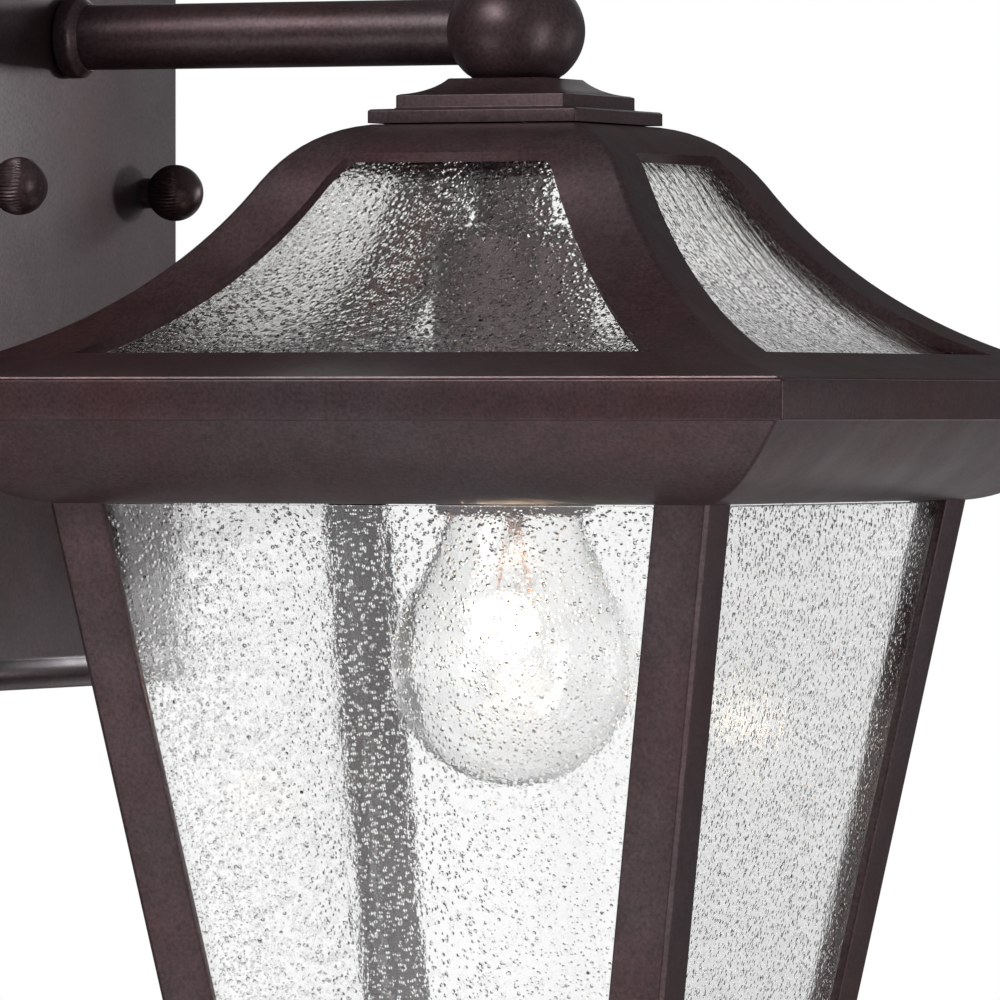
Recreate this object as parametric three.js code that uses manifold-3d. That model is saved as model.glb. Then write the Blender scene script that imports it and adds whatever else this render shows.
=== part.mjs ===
// Outdoor wall lantern: backplate and arm carrying a square tapered lantern with
// a bell-shaped glazed roof, seeded glass panes and a hinged bottom plate.
// Millimetres, +Z up. X = 0 is the wall, +X points away from it, Y runs along it.
// The origin is the centre of the crossbar on the wall.

import * as THREE from 'three';
import { mergeVertices } from 'three/addons/utils/BufferGeometryUtils.js';
import Module from 'manifold-3d';

// ---------------------------------------------------------------- driving dimensions

const GAP = 0.3;                    // clearance between neighbouring pieces
const ARM_REACH = 144;              // wall to the lantern's vertical axis

const PLATE = { width: 127, faceHeight: 227, depth: 25, sheet: 1.2, lipRadius: 4, lipProud: 2 };
const STUD = { spread: 88.9, radius: 2.1, from: 0.6, to: 36.5 };
const CROSSBAR = { length: 106, height: 22, thickness: 2.4 };
const SLOT = { middle: 31.5, length: 12, width: 5 };
const GROUND_SCREW_Y = 14;
const BALL_NUT = { radius: 7, centreX: 33.4, hub: 3.9, rearX: 29.3, bore: 2.4, boreEnd: 37.5 };
const ARM = { radius: 7.94, height: 37, from: 12, wall: 1.5, collarRadius: 10, collarLength: 6 };
const BALL = { radius: 16.65, semiHeight: 14.6, footHeight: 26.1 };
const NIPPLE = { radius: 4.9, bore: 3.2, top: 38, bottom: -20 };

const CAP = { top: 25.5, bottom: 14.6, plateau: 12.4, upperHalf: 21.94, lowerHalf: 27.07 };
const ROOF = { thickness: 3, topHeight: 14.3, topHalf: 26.5, rimHalf: 113.6, rimHeight: -46.4 };
const WINDOW = { topHalf: 41.3, bottomHalf: 94, topInset: 16.5, bottomInset: 20.5 };
const ROOF_GLASS = { thickness: 2.4, overlap: 4 };
const EAVE = {
  half: 114.3, top: -46.7, bandBottom: -56.1, bottom: -75.6, wall: 3, ledge: 102, opening: 70,
};

const BODY = { top: -75.9, bottom: -265.6, topHalf: 83.8, taper: 0.168 };
const POST = { flange: 13.7, thickness: 2.4, bevel: 1 };
const BODY_GLASS = { thickness: 3, side: 0.6 };
const BASE = { top: -265.9, bottom: -277, half: 56, opening: 36 };
const DOOR = { top: -277.6, half: 46, flange: 12, dishHalf: 13, dishBottom: -289, wall: 2.5 };
const HINGE = { distance: 51, height: -280.4, knuckle: 2.8, pin: 1.4, half: 16, middle: 7.5 };
const THUMBSCREW = { distance: 41, radius: 1.9, top: -269.5 };
const FINIAL = { bottom: -310, ball: 8.5, centre: -300.5, stud: 2, studTop: -282 };

const STEM = { radius: 9.25, top: 6.9, bottom: -10.6 };
const CUP = { radius: 19.4, rimRadius: 18, top: -10.9, bottom: -78.7, wall: 1.2 };
const BULB = { radius: 29.8, centre: -113.7, neck: 13.4, shoulder: -61.8, glass: 0.9, baseTop: -35.7 };

// ---------------------------------------------------------------- solids

const wasm = await Module();
wasm.setup();

function signedVolume(position, index) {
  const [a, b, c] = [new THREE.Vector3(), new THREE.Vector3(), new THREE.Vector3()];
  let volume = 0;
  for (let i = 0; i < index.length; i += 3) {
    a.fromBufferAttribute(position, index[i]);
    b.fromBufferAttribute(position, index[i + 1]);
    c.fromBufferAttribute(position, index[i + 2]);
    volume += a.dot(b.cross(c)) / 6;
  }
  return volume;
}

// A closed, outward-facing Manifold made from any closed three.js geometry.
function solid(geometry) {
  const bare = new THREE.BufferGeometry();
  bare.setAttribute('position', geometry.getAttribute('position'));
  bare.setIndex(geometry.index);
  const merged = mergeVertices(bare, 1e-4);
  const position = merged.getAttribute('position');
  const index = [];
  for (let i = 0; i < merged.index.count; i += 3) {
    const [a, b, c] = [0, 1, 2].map((k) => merged.index.getX(i + k));
    if (a !== b && b !== c && c !== a) index.push(a, b, c);
  }
  if (signedVolume(position, index) < 0) index.reverse();
  return new wasm.Manifold(new wasm.Mesh({
    numProp: 3,
    vertProperties: Float32Array.from(position.array),
    triVerts: Uint32Array.from(index),
  }));
}

function geometryOf(manifold) {
  const mesh = manifold.getMesh();
  const geometry = new THREE.BufferGeometry();
  geometry.setAttribute('position', new THREE.BufferAttribute(Float32Array.from(mesh.vertProperties), 3));
  geometry.setIndex(new THREE.BufferAttribute(Uint32Array.from(mesh.triVerts), 1));
  geometry.computeVertexNormals();
  return geometry;
}

const join = (first, ...others) => others.reduce((whole, piece) => whole.add(piece), first);
const cut = (first, ...tools) => tools.reduce((whole, tool) => whole.subtract(tool), first);

const points = (pairs) => pairs.map(([x, y]) => new THREE.Vector2(x, y));

// Axis turns: a turned piece is made along +Y and laid along X or Z.
const ALONG = {
  x: (geometry) => geometry.rotateZ(-Math.PI / 2),
  y: (geometry) => geometry,
  z: (geometry) => geometry.rotateX(Math.PI / 2),
};

// Solid of revolution. The profile lists [radius, distance along the axis] and is
// closed on the axis or, for a ring, on itself.
function turned(profile, { along = 'z', segments = 32, at = [0, 0, 0], phase = 0 } = {}) {
  const outline = points(profile);
  const onAxis = outline[0].x === 0 && outline.at(-1).x === 0;
  if (!onAxis) outline.push(outline[0].clone());
  const geometry = new THREE.LatheGeometry(outline, segments, phase);
  return solid(ALONG[along](geometry).translate(...at));
}

const rod = (radius, from, to, options) => (
  turned([[0, from], [radius, from], [radius, to], [0, to]], options)
);
const tube = (inner, outer, from, to, options) => (
  turned([[inner, from], [outer, from], [outer, to], [inner, to]], options)
);

// Square counterpart of a turned piece: the profile lists [half width, height].
function squared(profile) {
  const corners = profile.map(([half, height]) => [half * Math.SQRT2, height]);
  return turned(corners, { segments: 4, phase: Math.PI / 4 });
}

function prism(outline, depth) {
  const shape = new THREE.Shape(points(outline));
  return new THREE.ExtrudeGeometry(shape, { depth, bevelEnabled: false });
}

// Outline in the (x, z) plane, run along Y over a width centred on Y = 0.
function runAlongY(outline, width) {
  return solid(prism(outline, width).rotateX(Math.PI / 2).translate(0, width / 2, 0));
}

// Outline in plan, run from one height to another.
function runAlongZ(outline, from, to) {
  return solid(prism(outline, to - from).translate(0, 0, from));
}

function box([x0, y0, z0], [x1, y1, z1]) {
  const geometry = new THREE.BoxGeometry(x1 - x0, y1 - y0, z1 - z0);
  return solid(geometry.translate((x0 + x1) / 2, (y0 + y1) / 2, (z0 + z1) / 2));
}

// Moves every vertex of a geometry through a function of its position.
function warped(geometry, place) {
  const position = geometry.getAttribute('position');
  for (let i = 0; i < position.count; i += 1) {
    position.setXYZ(i, ...place(position.getX(i), position.getY(i), position.getZ(i)));
  }
  return solid(geometry);
}

function hexNut(acrossFlats, bore, from, to, options = {}) {
  const corner = acrossFlats / Math.sqrt(3);
  const body = rod(corner, from, to, { ...options, segments: 6 });
  return cut(body, rod(bore, from - 1, to + 1, { ...options, segments: 24 }));
}

// ---------------------------------------------------------------- materials

const finish = (color, roughness, metalness) => () => (
  new THREE.MeshStandardMaterial({ color, roughness, metalness })
);
const bronze = finish(0x3b2a2a, 0.42, 0.55);
const steel = finish(0xa9abad, 0.35, 0.9);
const brass = finish(0xb8974e, 0.3, 0.9);
const greenSteel = finish(0x2f6b3c, 0.4, 0.6);
const porcelain = finish(0xe9e6df, 0.25, 0);
const seededGlass = finish(0xdfe6e4, 0.08, 0);
const bulbGlass = finish(0xf2f4f4, 0.03, 0);
const tungsten = finish(0xffc98a, 0.5, 0.4);

// ---------------------------------------------------------------- assembly

const lamp = new THREE.Group();
const lantern = new THREE.Group();
lantern.position.set(ARM_REACH, 0, 0);
lamp.add(lantern);

function addTo(group, name, manifold, material, turn = 0) {
  const mesh = new THREE.Mesh(geometryOf(manifold), material());
  mesh.name = name;
  mesh.rotation.z = turn;
  group.add(mesh);
}
const onWall = (...piece) => addTo(lamp, ...piece);
const onLantern = (...piece) => addTo(lantern, ...piece);

const SIDES = [
  ['front', 0],
  ['right', Math.PI / 2],
  ['back', Math.PI],
  ['left', -Math.PI / 2],
];
const CORNERS = [
  ['front_right', 0],
  ['back_right', Math.PI / 2],
  ['back_left', Math.PI],
  ['front_left', -Math.PI / 2],
];

// ---------------------------------------------------------------- wall bracket

function crossbar() {
  const { length, height, thickness } = CROSSBAR;
  const plate = box([0, -length / 2, -height / 2], [thickness, length / 2, height / 2]);
  const hole = (radius, y) => (
    rod(radius + GAP, -1, thickness + 1, { along: 'x', at: [0, y, 0], segments: 24 })
  );
  const slot = (middle) => box(
    [-1, middle - SLOT.length / 2, -SLOT.width / 2],
    [thickness + 1, middle + SLOT.length / 2, SLOT.width / 2],
  );
  const studHoles = [-1, 1].map((side) => hole(STUD.radius, side * STUD.spread / 2));
  const slots = [-1, 1].map((side) => slot(side * SLOT.middle));
  return cut(plate, ...slots, ...studHoles, hole(2.4, GROUND_SCREW_Y));
}
onWall('crossbar', crossbar(), steel);

const WALL_SIDES = [['left', -1], ['right', 1]];
for (const [side, sign] of WALL_SIDES) {
  const axis = { along: 'x', at: [0, sign * STUD.spread / 2, 0], segments: 20 };
  const nutFrom = CROSSBAR.thickness + GAP;
  onWall(`mounting_stud_${side}`, rod(STUD.radius, STUD.from, STUD.to, axis), steel);
  onWall(`stud_nut_${side}`, hexNut(8.7, STUD.radius + GAP, nutFrom, nutFrom + 3.2, axis), steel);
}

function groundScrew() {
  const head = CROSSBAR.thickness + GAP;
  const screw = turned([
    [0, GAP], [2.4, GAP], [2.4, head], [5.2, head],
    [5.2, head + 1], [4, head + 1.2], [4, head + 3.6], [0, head + 3.6],
  ], { along: 'x', at: [0, GROUND_SCREW_Y, 0], segments: 24 });
  const slot = box([head + 2.6, GROUND_SCREW_Y - 5, -0.5], [head + 5, GROUND_SCREW_Y + 5, 0.5]);
  return cut(screw, slot);
}
onWall('ground_screw', groundScrew(), greenSteel);

// ---------------------------------------------------------------- backplate

// Side outline of the pan in (x, z): flat face with a half-round lip at each end.
function panOutline(shrink) {
  const { faceHeight, depth, lipRadius, lipProud } = PLATE;
  const outline = new THREE.Shape();
  const lipCentre = faceHeight / 2 + lipRadius;
  const lipX = depth + lipProud - lipRadius;
  const radius = lipRadius - shrink;
  const rear = shrink > 0 ? -1 : 0;
  outline.moveTo(rear, -lipCentre - radius);
  outline.lineTo(lipX, -lipCentre - radius);
  outline.absarc(lipX, -lipCentre, radius, -Math.PI / 2, 0.3 * Math.PI, false);
  outline.lineTo(depth - shrink, -faceHeight / 2 + shrink);
  outline.lineTo(depth - shrink, faceHeight / 2 - shrink);
  outline.absarc(lipX, lipCentre, radius, -0.3 * Math.PI, Math.PI / 2, false);
  outline.lineTo(rear, lipCentre + radius);
  return outline.getPoints(6).map(({ x, y }) => [x, y]);
}

function backplate() {
  const shell = runAlongY(panOutline(0), PLATE.width);
  const hollow = runAlongY(panOutline(PLATE.sheet), PLATE.width - 2 * PLATE.sheet);
  const reach = [PLATE.depth - 5, PLATE.depth + 5];
  const studHoles = WALL_SIDES.map(([, sign]) => (
    rod(2.8, ...reach, { along: 'x', at: [0, sign * STUD.spread / 2, 0], segments: 24 })
  ));
  const armHole = rod(ARM.radius + GAP, ...reach, { along: 'x', at: [0, 0, ARM.height] });
  return cut(shell, hollow, ...studHoles, armHole);
}
onWall('backplate', backplate(), bronze);

// Ball cut flat on its wall side, on a short hub that bears on the plate.
function ballNut(sign) {
  const seat = PLATE.depth + GAP;
  const { radius, centreX, hub, rearX, bore, boreEnd } = BALL_NUT;
  const profile = [[0, seat], [hub, seat], [hub, rearX]];
  const rearAngle = Math.asin((rearX - centreX) / radius);
  const steps = 8;
  for (let i = 0; i <= steps; i += 1) {
    const angle = THREE.MathUtils.lerp(rearAngle, Math.PI / 2, i / steps);
    profile.push([i === steps ? 0 : radius * Math.cos(angle), centreX + radius * Math.sin(angle)]);
  }
  const at = [0, sign * STUD.spread / 2, 0];
  const knob = turned(profile, { along: 'x', at, segments: 24 });
  return cut(knob, rod(bore, seat - 1, boreEnd, { along: 'x', at, segments: 20 }));
}
for (const [side, sign] of WALL_SIDES) onWall(`ball_nut_${side}`, ballNut(sign), bronze);

// ---------------------------------------------------------------- arm

const ARM_AXIS = { along: 'x', at: [0, 0, ARM.height] };
const ARM_END = ARM_REACH - 12;
onWall('arm_tube', tube(ARM.radius - ARM.wall, ARM.radius, ARM.from, ARM_END, ARM_AXIS), bronze);

function armCollar() {
  const from = PLATE.depth + GAP;
  const { collarRadius, collarLength, radius } = ARM;
  const swell = 1.5;
  const round = new THREE.EllipseCurve(
    collarRadius - swell, from + collarLength / 2,
    swell, collarLength / 2,
    -Math.PI / 2, Math.PI / 2,
  );
  const bead = round.getPoints(5).map(({ x, y }) => [x, y]);
  const bore = radius + GAP;
  return turned([[bore, from], ...bead, [bore, from + collarLength]], ARM_AXIS);
}
onWall('arm_collar', armCollar(), bronze);

const PLATE_BACK = PLATE.depth - PLATE.sheet - GAP;
onWall('arm_washer', tube(ARM.radius + GAP, 12.5, PLATE_BACK - 1.2, PLATE_BACK, ARM_AXIS), steel);
onWall('arm_nut', hexNut(23, ARM.radius + GAP, PLATE_BACK - 6, PLATE_BACK - 1.5, ARM_AXIS), steel);

function couplingBall() {
  const { radius, semiHeight, footHeight } = BALL;
  const centre = ARM.height;
  const footAngle = Math.asin((footHeight - centre) / semiHeight);
  const profile = [[0, footHeight]];
  const steps = 11;
  for (let i = 0; i <= steps; i += 1) {
    const angle = THREE.MathUtils.lerp(footAngle, Math.PI / 2, i / steps);
    profile.push([i === steps ? 0 : radius * Math.cos(angle), centre + semiHeight * Math.sin(angle)]);
  }
  const armAxis = { along: 'x', at: [0, 0, centre] };
  const armBore = rod(ARM.radius + GAP, -radius - 2, ARM_END - ARM_REACH + GAP, armAxis);
  const wireWay = rod(NIPPLE.bore, -radius, 2, { ...armAxis, segments: 20 });
  const nippleBore = rod(NIPPLE.radius + GAP, footHeight - 1, NIPPLE.top + GAP, { segments: 24 });
  return cut(turned(profile, { segments: 30 }), armBore, wireWay, nippleBore);
}
onLantern('coupling_ball', couplingBall(), bronze);

// ---------------------------------------------------------------- cap and roof

const nippleHole = (from, to) => rod(NIPPLE.radius + GAP, from, to, { segments: 24 });
onLantern('nipple', tube(NIPPLE.bore, NIPPLE.radius, NIPPLE.bottom, NIPPLE.top, { segments: 24 }), steel);

function roofCap() {
  const { top, bottom, plateau, upperHalf, lowerHalf } = CAP;
  const flare = new THREE.QuadraticBezierCurve(
    new THREE.Vector2(plateau, top),
    new THREE.Vector2(plateau + 3.5, top - 3),
    new THREE.Vector2(upperHalf - 0.8, top - 3.8),
  );
  const recess = 19;
  const block = squared([
    [0, top],
    ...flare.getPoints(5).map(({ x, y }) => [x, y]),
    [upperHalf, top - 4.2], [upperHalf, top - 7.4],
    [lowerHalf - 0.4, top - 7.7], [lowerHalf, top - 8.1], [lowerHalf, bottom],
    [recess, bottom], [recess, bottom + 4], [11, top - 3.5], [0, top - 3.5],
  ]);
  return cut(block, nippleHole(bottom - 1, top + 1));
}
onLantern('roof_cap', roofCap(), bronze);

// Bell-shaped roof line in (half width, height), from the cap to the eave.
const roofLine = new THREE.CurvePath();
const waist = new THREE.Vector2(49, -3.3);
roofLine.add(new THREE.CubicBezierCurve(
  new THREE.Vector2(ROOF.topHalf, ROOF.topHeight),
  new THREE.Vector2(40.6, 12.5),
  new THREE.Vector2(46.2, 0.9),
  waist,
));
roofLine.add(new THREE.CubicBezierCurve(
  waist,
  new THREE.Vector2(66.8, -30),
  new THREE.Vector2(92.3, -42.3),
  new THREE.Vector2(ROOF.rimHalf, ROOF.rimHeight + GAP),
));

// Point a given depth below the roof's outer surface, at a fraction of its length.
function underRoof(fraction, depth) {
  const on = roofLine.getPointAt(fraction);
  const slope = roofLine.getTangentAt(fraction);
  return [on.x + depth * slope.y, on.y - depth * slope.x];
}

function fractionAt(half) {
  let [low, high] = [0, 1];
  for (let i = 0; i < 30; i += 1) {
    const middle = (low + high) / 2;
    if (roofLine.getPointAt(middle).x < half) low = middle;
    else high = middle;
  }
  return (low + high) / 2;
}

// Outline in (x, z) of the layer between two depths under a stretch of the roof.
function roofLayer(fromFraction, toFraction, outerDepth, innerDepth, steps = 14) {
  const outer = [];
  const inner = [];
  for (let i = 0; i <= steps; i += 1) {
    const fraction = THREE.MathUtils.lerp(fromFraction, toFraction, i / steps);
    outer.push(underRoof(fraction, outerDepth));
    inner.unshift(underRoof(fraction, innerDepth));
  }
  return [...outer, ...inner];
}

// Plan outline of a window whose sides run beside the hips.
const windowPlan = (topHalf, bottomHalf, topSide, bottomSide) => [
  [topHalf, -topSide], [bottomHalf, -bottomSide], [bottomHalf, bottomSide], [topHalf, topSide],
];

function roofFrame() {
  const steps = 22;
  const layer = roofLayer(0, 1, 0, ROOF.thickness, steps);
  const outer = layer.slice(0, steps + 1);
  const under = layer.slice(steps + 1).filter(([, height]) => height > ROOF.rimHeight);
  const [rimInner] = under;
  const shell = squared([
    [0, ROOF.topHeight],
    ...outer,
    [ROOF.rimHalf, ROOF.rimHeight],
    [rimInner[0] + 2, ROOF.rimHeight],
    ...under,
    [0, ROOF.topHeight - ROOF.thickness],
  ]);
  const [top, bottom] = [fractionAt(WINDOW.topHalf), fractionAt(WINDOW.bottomHalf)];
  const reveal = 8;
  const through = runAlongY(roofLayer(top, bottom, -reveal, reveal), 2 * ROOF.rimHalf);
  const plan = windowPlan(
    WINDOW.topHalf - reveal, WINDOW.bottomHalf + reveal,
    WINDOW.topHalf - reveal - WINDOW.topInset + 0.6, WINDOW.bottomHalf + reveal - WINDOW.bottomInset - 0.6,
  );
  const opening = through.intersect(runAlongZ(plan, ROOF.rimHeight - 20, ROOF.topHeight + 10));
  const windows = SIDES.map(([, turn]) => opening.rotate([0, 0, THREE.MathUtils.radToDeg(turn)]));
  return cut(shell, ...windows, nippleHole(0, 20));
}
onLantern('roof_frame', roofFrame(), bronze);

function roofGlass() {
  const { thickness, overlap } = ROOF_GLASS;
  const depth = ROOF.thickness + GAP;
  const [top, bottom] = [fractionAt(WINDOW.topHalf - overlap), fractionAt(WINDOW.bottomHalf + overlap)];
  const bent = runAlongY(roofLayer(top, bottom, depth, depth + thickness), 2 * ROOF.rimHalf);
  const plan = windowPlan(
    WINDOW.topHalf - 12, WINDOW.bottomHalf + 12,
    WINDOW.topHalf - 12 - WINDOW.topInset + 5, WINDOW.bottomHalf + 12 - WINDOW.bottomInset + 4,
  );
  return bent.intersect(runAlongZ(plan, ROOF.rimHeight - 20, ROOF.topHeight + 10));
}

// Spring tongue that bears on the lower edge of a roof pane from below.
function roofGlassClip() {
  const depth = ROOF.thickness + ROOF_GLASS.thickness + 2 * GAP;
  const [inner, outer] = [fractionAt(90), fractionAt(98)];
  const leg = EAVE.ledge - GAP;
  const foot = EAVE.top - 8;
  const tongue = [
    underRoof(inner, depth), underRoof(outer, depth),
    [leg, EAVE.top - 0.5], [leg, foot], [leg - 1, foot], [leg - 1, EAVE.top - 2.2],
    underRoof(outer, depth + 1), underRoof(inner, depth + 1),
  ];
  return runAlongY(tongue, 10);
}

for (const [side, turn] of SIDES) {
  onLantern(`roof_glass_${side}`, roofGlass(), seededGlass, turn);
  onLantern(`roof_glass_clip_${side}`, roofGlassClip(), bronze, turn);
}

// ---------------------------------------------------------------- eave

function eaveFrame() {
  const { half, top, bandBottom, bottom, wall, ledge, opening } = EAVE;
  const crisp = 0.4;
  const cove = new THREE.CubicBezierCurve(
    new THREE.Vector2(half - 3, bandBottom - crisp),
    new THREE.Vector2(half - 12, bandBottom - 10),
    new THREE.Vector2(half - 20, bottom + 1),
    new THREE.Vector2(BODY.topHalf, bottom),
  );
  const outer = cove.getPoints(10).map(({ x, y }) => [x, y]);
  const inner = outer.slice(1, -1).reverse().map(([x, y]) => [x - wall * 0.75, y + wall * 0.9]);
  return squared([
    [ledge, top], [half - crisp, top], [half, top - crisp],
    [half, bandBottom + crisp], [half - crisp, bandBottom],
    ...outer,
    [opening, bottom], [opening, bottom + wall],
    ...inner,
    [half - wall - 1.5, top - wall], [ledge, top - wall],
  ]);
}
onLantern('eave_frame', eaveFrame(), bronze);

// ---------------------------------------------------------------- body

// Half width across the outside of the posts at a height.
const bodyHalf = (height) => BODY.topHalf - BODY.taper * (BODY.top - height);

// Corner prism: the outline lies at the body's corner and leans inwards with the taper.
function leaning(outline, from, to) {
  return warped(prism(outline, 1), (x, y, z) => {
    const height = THREE.MathUtils.lerp(from, to, z);
    const half = bodyHalf(height);
    return [half + x, half + y, height];
  });
}

function post() {
  const { flange, thickness, bevel } = POST;
  return leaning([
    [0, -flange], [0, -bevel], [-bevel, 0], [-flange, 0],
    [-flange, -thickness], [-thickness, -thickness], [-thickness, -flange],
  ], BODY.bottom, BODY.top);
}
for (const [corner, turn] of CORNERS) onLantern(`post_${corner}`, post(), bronze, turn);

function bodyGlass() {
  const outerFace = POST.thickness + GAP;
  const innerFace = outerFace + BODY_GLASS.thickness;
  return warped(new THREE.BoxGeometry(1, 2, 1), (x, y, z) => {
    const height = z > 0 ? BODY.top - GAP : BODY.bottom;
    const half = bodyHalf(height);
    return [half - (x > 0 ? outerFace : innerFace), y * (half - innerFace - BODY_GLASS.side), height];
  });
}

// Bent tab standing on the base frame behind the lower edge of a pane.
function bodyGlassClip() {
  const behind = POST.thickness + BODY_GLASS.thickness + 2 * GAP;
  const [foot, tip, sheet] = [BODY.bottom, BODY.bottom + 13, 1];
  const [footHalf, tipHalf] = [bodyHalf(foot) - behind, bodyHalf(tip) - behind];
  return runAlongY([
    [39, foot], [footHalf, foot], [tipHalf, tip],
    [tipHalf - sheet, tip], [footHalf - sheet, foot + sheet], [39, foot + sheet],
  ], 12);
}

for (const [side, turn] of SIDES) {
  onLantern(`body_glass_${side}`, bodyGlass(), seededGlass, turn);
  onLantern(`body_glass_clip_${side}`, bodyGlassClip(), bronze, turn);
}

// ---------------------------------------------------------------- base and bottom plate

const HINGE_AXIS = { along: 'y', at: [-HINGE.distance, 0, HINGE.height], segments: 20 };
const SCREW_AXIS = { at: [THUMBSCREW.distance, 0, 0], segments: 24 };

function baseFrame() {
  const { top, bottom, half, opening } = BASE;
  const ring = squared([
    [opening, top], [bodyHalf(top) + 0.6, top], [half - 1.5, top - 2.6], [half, top - 3], [half, top - 7],
    [half - 1.2, top - 7.6], [half - 3.6, bottom], [opening, bottom],
  ]);
  const screwHole = rod(THUMBSCREW.radius + 0.8, bottom - 1, THUMBSCREW.top + GAP, SCREW_AXIS);
  const knuckles = [-1, 1].map((side) => {
    const middle = side * (HINGE.middle + HINGE.half) / 2;
    const width = HINGE.half - HINGE.middle - 2 * GAP;
    const leaf = box(
      [-HINGE.distance - HINGE.knuckle, middle - width / 2, HINGE.height],
      [-HINGE.distance + 1, middle + width / 2, bottom + 1],
    );
    return join(rod(HINGE.knuckle, middle - width / 2, middle + width / 2, HINGE_AXIS), leaf);
  });
  const pinHole = rod(HINGE.pin + GAP, -HINGE.half - 1, HINGE.half + 1, HINGE_AXIS);
  return cut(join(ring, ...knuckles), pinHole, screwHole);
}
onLantern('base_frame', baseFrame(), bronze);

function baseDoor() {
  const { top, half, flange, dishHalf, dishBottom, wall } = DOOR;
  const lip = top - wall;
  const sag = (inset, lift) => new THREE.QuadraticBezierCurve(
    new THREE.Vector2(half - flange - inset, lip - 0.6 + lift),
    new THREE.Vector2(dishHalf + 8 - inset, lip - 1.5 + lift),
    new THREE.Vector2(dishHalf - inset, dishBottom + lift),
  ).getPoints(6).map(({ x, y }) => [x, y]);
  const dish = squared([
    [0, dishBottom + wall],
    ...sag(1.5, wall).reverse(),
    [half - flange - 1, top], [half, top], [half, lip], [half - flange, lip],
    ...sag(0, 0),
    [0, dishBottom],
  ]);
  const width = 2 * HINGE.middle;
  const knuckle = rod(HINGE.knuckle, -width / 2, width / 2, HINGE_AXIS);
  const leaf = box([-HINGE.distance, -width / 2, HINGE.height - 0.4], [-half + 1, width / 2, lip + 1.6]);
  const pinHole = rod(HINGE.pin + GAP, -width, width, HINGE_AXIS);
  const studHole = rod(FINIAL.stud + GAP, dishBottom - 1, top, { segments: 20 });
  const screwHole = rod(THUMBSCREW.radius + GAP, dishBottom, top + 1, SCREW_AXIS);
  return cut(join(dish, knuckle, leaf), pinHole, studHole, screwHole);
}
onLantern('base_door', baseDoor(), bronze);

onLantern('hinge_pin', turned([
  [0, -HINGE.half - 2], [2.2, -HINGE.half - 1.6], [2.2, -HINGE.half - GAP], [HINGE.pin, -HINGE.half - GAP],
  [HINGE.pin, HINGE.half + 1], [0, HINGE.half + 1],
], HINGE_AXIS), steel);

function thumbscrew() {
  const head = DOOR.top - DOOR.wall - GAP;
  return turned([
    [0, THUMBSCREW.top], [THUMBSCREW.radius, THUMBSCREW.top], [THUMBSCREW.radius, head],
    [3.6, head], [3.9, head - 0.5], [3.9, head - 4], [3.2, head - 4.8], [0, head - 5],
  ], SCREW_AXIS);
}
onLantern('thumbscrew', thumbscrew(), bronze);

function finial() {
  const { bottom, ball, centre, stud, studTop } = FINIAL;
  const seat = DOOR.dishBottom - GAP;
  const profile = [
    [0, studTop], [stud, studTop], [stud, seat], [7.5, seat], [7.8, seat - 1], [5, seat - 2.2],
  ];
  const steps = 10;
  for (let i = 0; i <= steps; i += 1) {
    const angle = THREE.MathUtils.lerp(0.3, -0.42, i / steps) * Math.PI;
    profile.push([ball * Math.cos(angle), centre + ball * Math.sin(angle)]);
  }
  profile.push([1.4, bottom + 0.5], [0, bottom]);
  return turned(profile, { segments: 24 });
}
onLantern('finial', finial(), bronze);
const DISH_FLOOR = DOOR.dishBottom + DOOR.wall + GAP;
onLantern('finial_nut', hexNut(7, FINIAL.stud + GAP, DISH_FLOOR, DISH_FLOOR + 2.6), steel);

// ---------------------------------------------------------------- lampholder

const UNDER_ROOF_PLATE = ROOF.topHeight - ROOF.thickness - GAP;
onLantern('cap_nut', hexNut(17.5, NIPPLE.radius + GAP, STEM.top + GAP, UNDER_ROOF_PLATE), steel);
const stem = tube(NIPPLE.radius + GAP, STEM.radius, STEM.bottom, STEM.top, { segments: 28 });
onLantern('socket_stem', stem, bronze);

function socketCup() {
  const { radius, rimRadius, top, bottom, wall } = CUP;
  const bore = NIPPLE.radius + GAP;
  return turned([
    [bore, top], [radius - 4, top], [radius - 1.2, top - 1.2], [radius, top - 4],
    [radius, bottom + 3], [rimRadius, bottom], [rimRadius - wall, bottom + 0.4],
    [radius - wall, bottom + 3.4], [radius - wall, top - 4], [radius - 4, top - wall], [bore, top - wall],
  ], { segments: 32 });
}
onLantern('socket_cup', socketCup(), bronze);

const SHELL = { outer: 14.3, inner: 13.7, top: -33.8, bottom: -61 };
const INSULATOR_BOTTOM = -71.5;
function socketInsulator() {
  const outside = CUP.radius - CUP.wall - 0.8;
  const top = CUP.top - CUP.wall - GAP;
  const cavity = SHELL.outer + GAP;
  const body = turned([
    [0, top], [outside - 3, top], [outside, top - 3.5], [outside, INSULATOR_BOTTOM],
    [cavity, INSULATOR_BOTTOM], [cavity, SHELL.top + GAP], [0, SHELL.top + GAP],
  ], { segments: 32 });
  const wireHoles = [-1, 1].map((side) => (
    rod(1.5, -40, NIPPLE.bottom + 1, { at: [0, side * 3, 0], segments: 12 })
  ));
  return cut(body, nippleHole(NIPPLE.bottom - 4, 0), ...wireHoles);
}
onLantern('socket_insulator', socketInsulator(), porcelain);

onLantern('screw_shell', turned([
  [4.5, SHELL.top], [SHELL.outer, SHELL.top], [SHELL.outer, SHELL.bottom], [SHELL.inner, SHELL.bottom],
  [SHELL.inner, SHELL.top - 0.8], [4.5, SHELL.top - 0.8],
]), brass);
onLantern('centre_contact', turned([
  [0, SHELL.top], [3.9, SHELL.top], [3.9, SHELL.top - 0.7], [2, SHELL.top - 1.5], [0, SHELL.top - 1.5],
], { segments: 20 }), brass);

// ---------------------------------------------------------------- bulb

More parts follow.
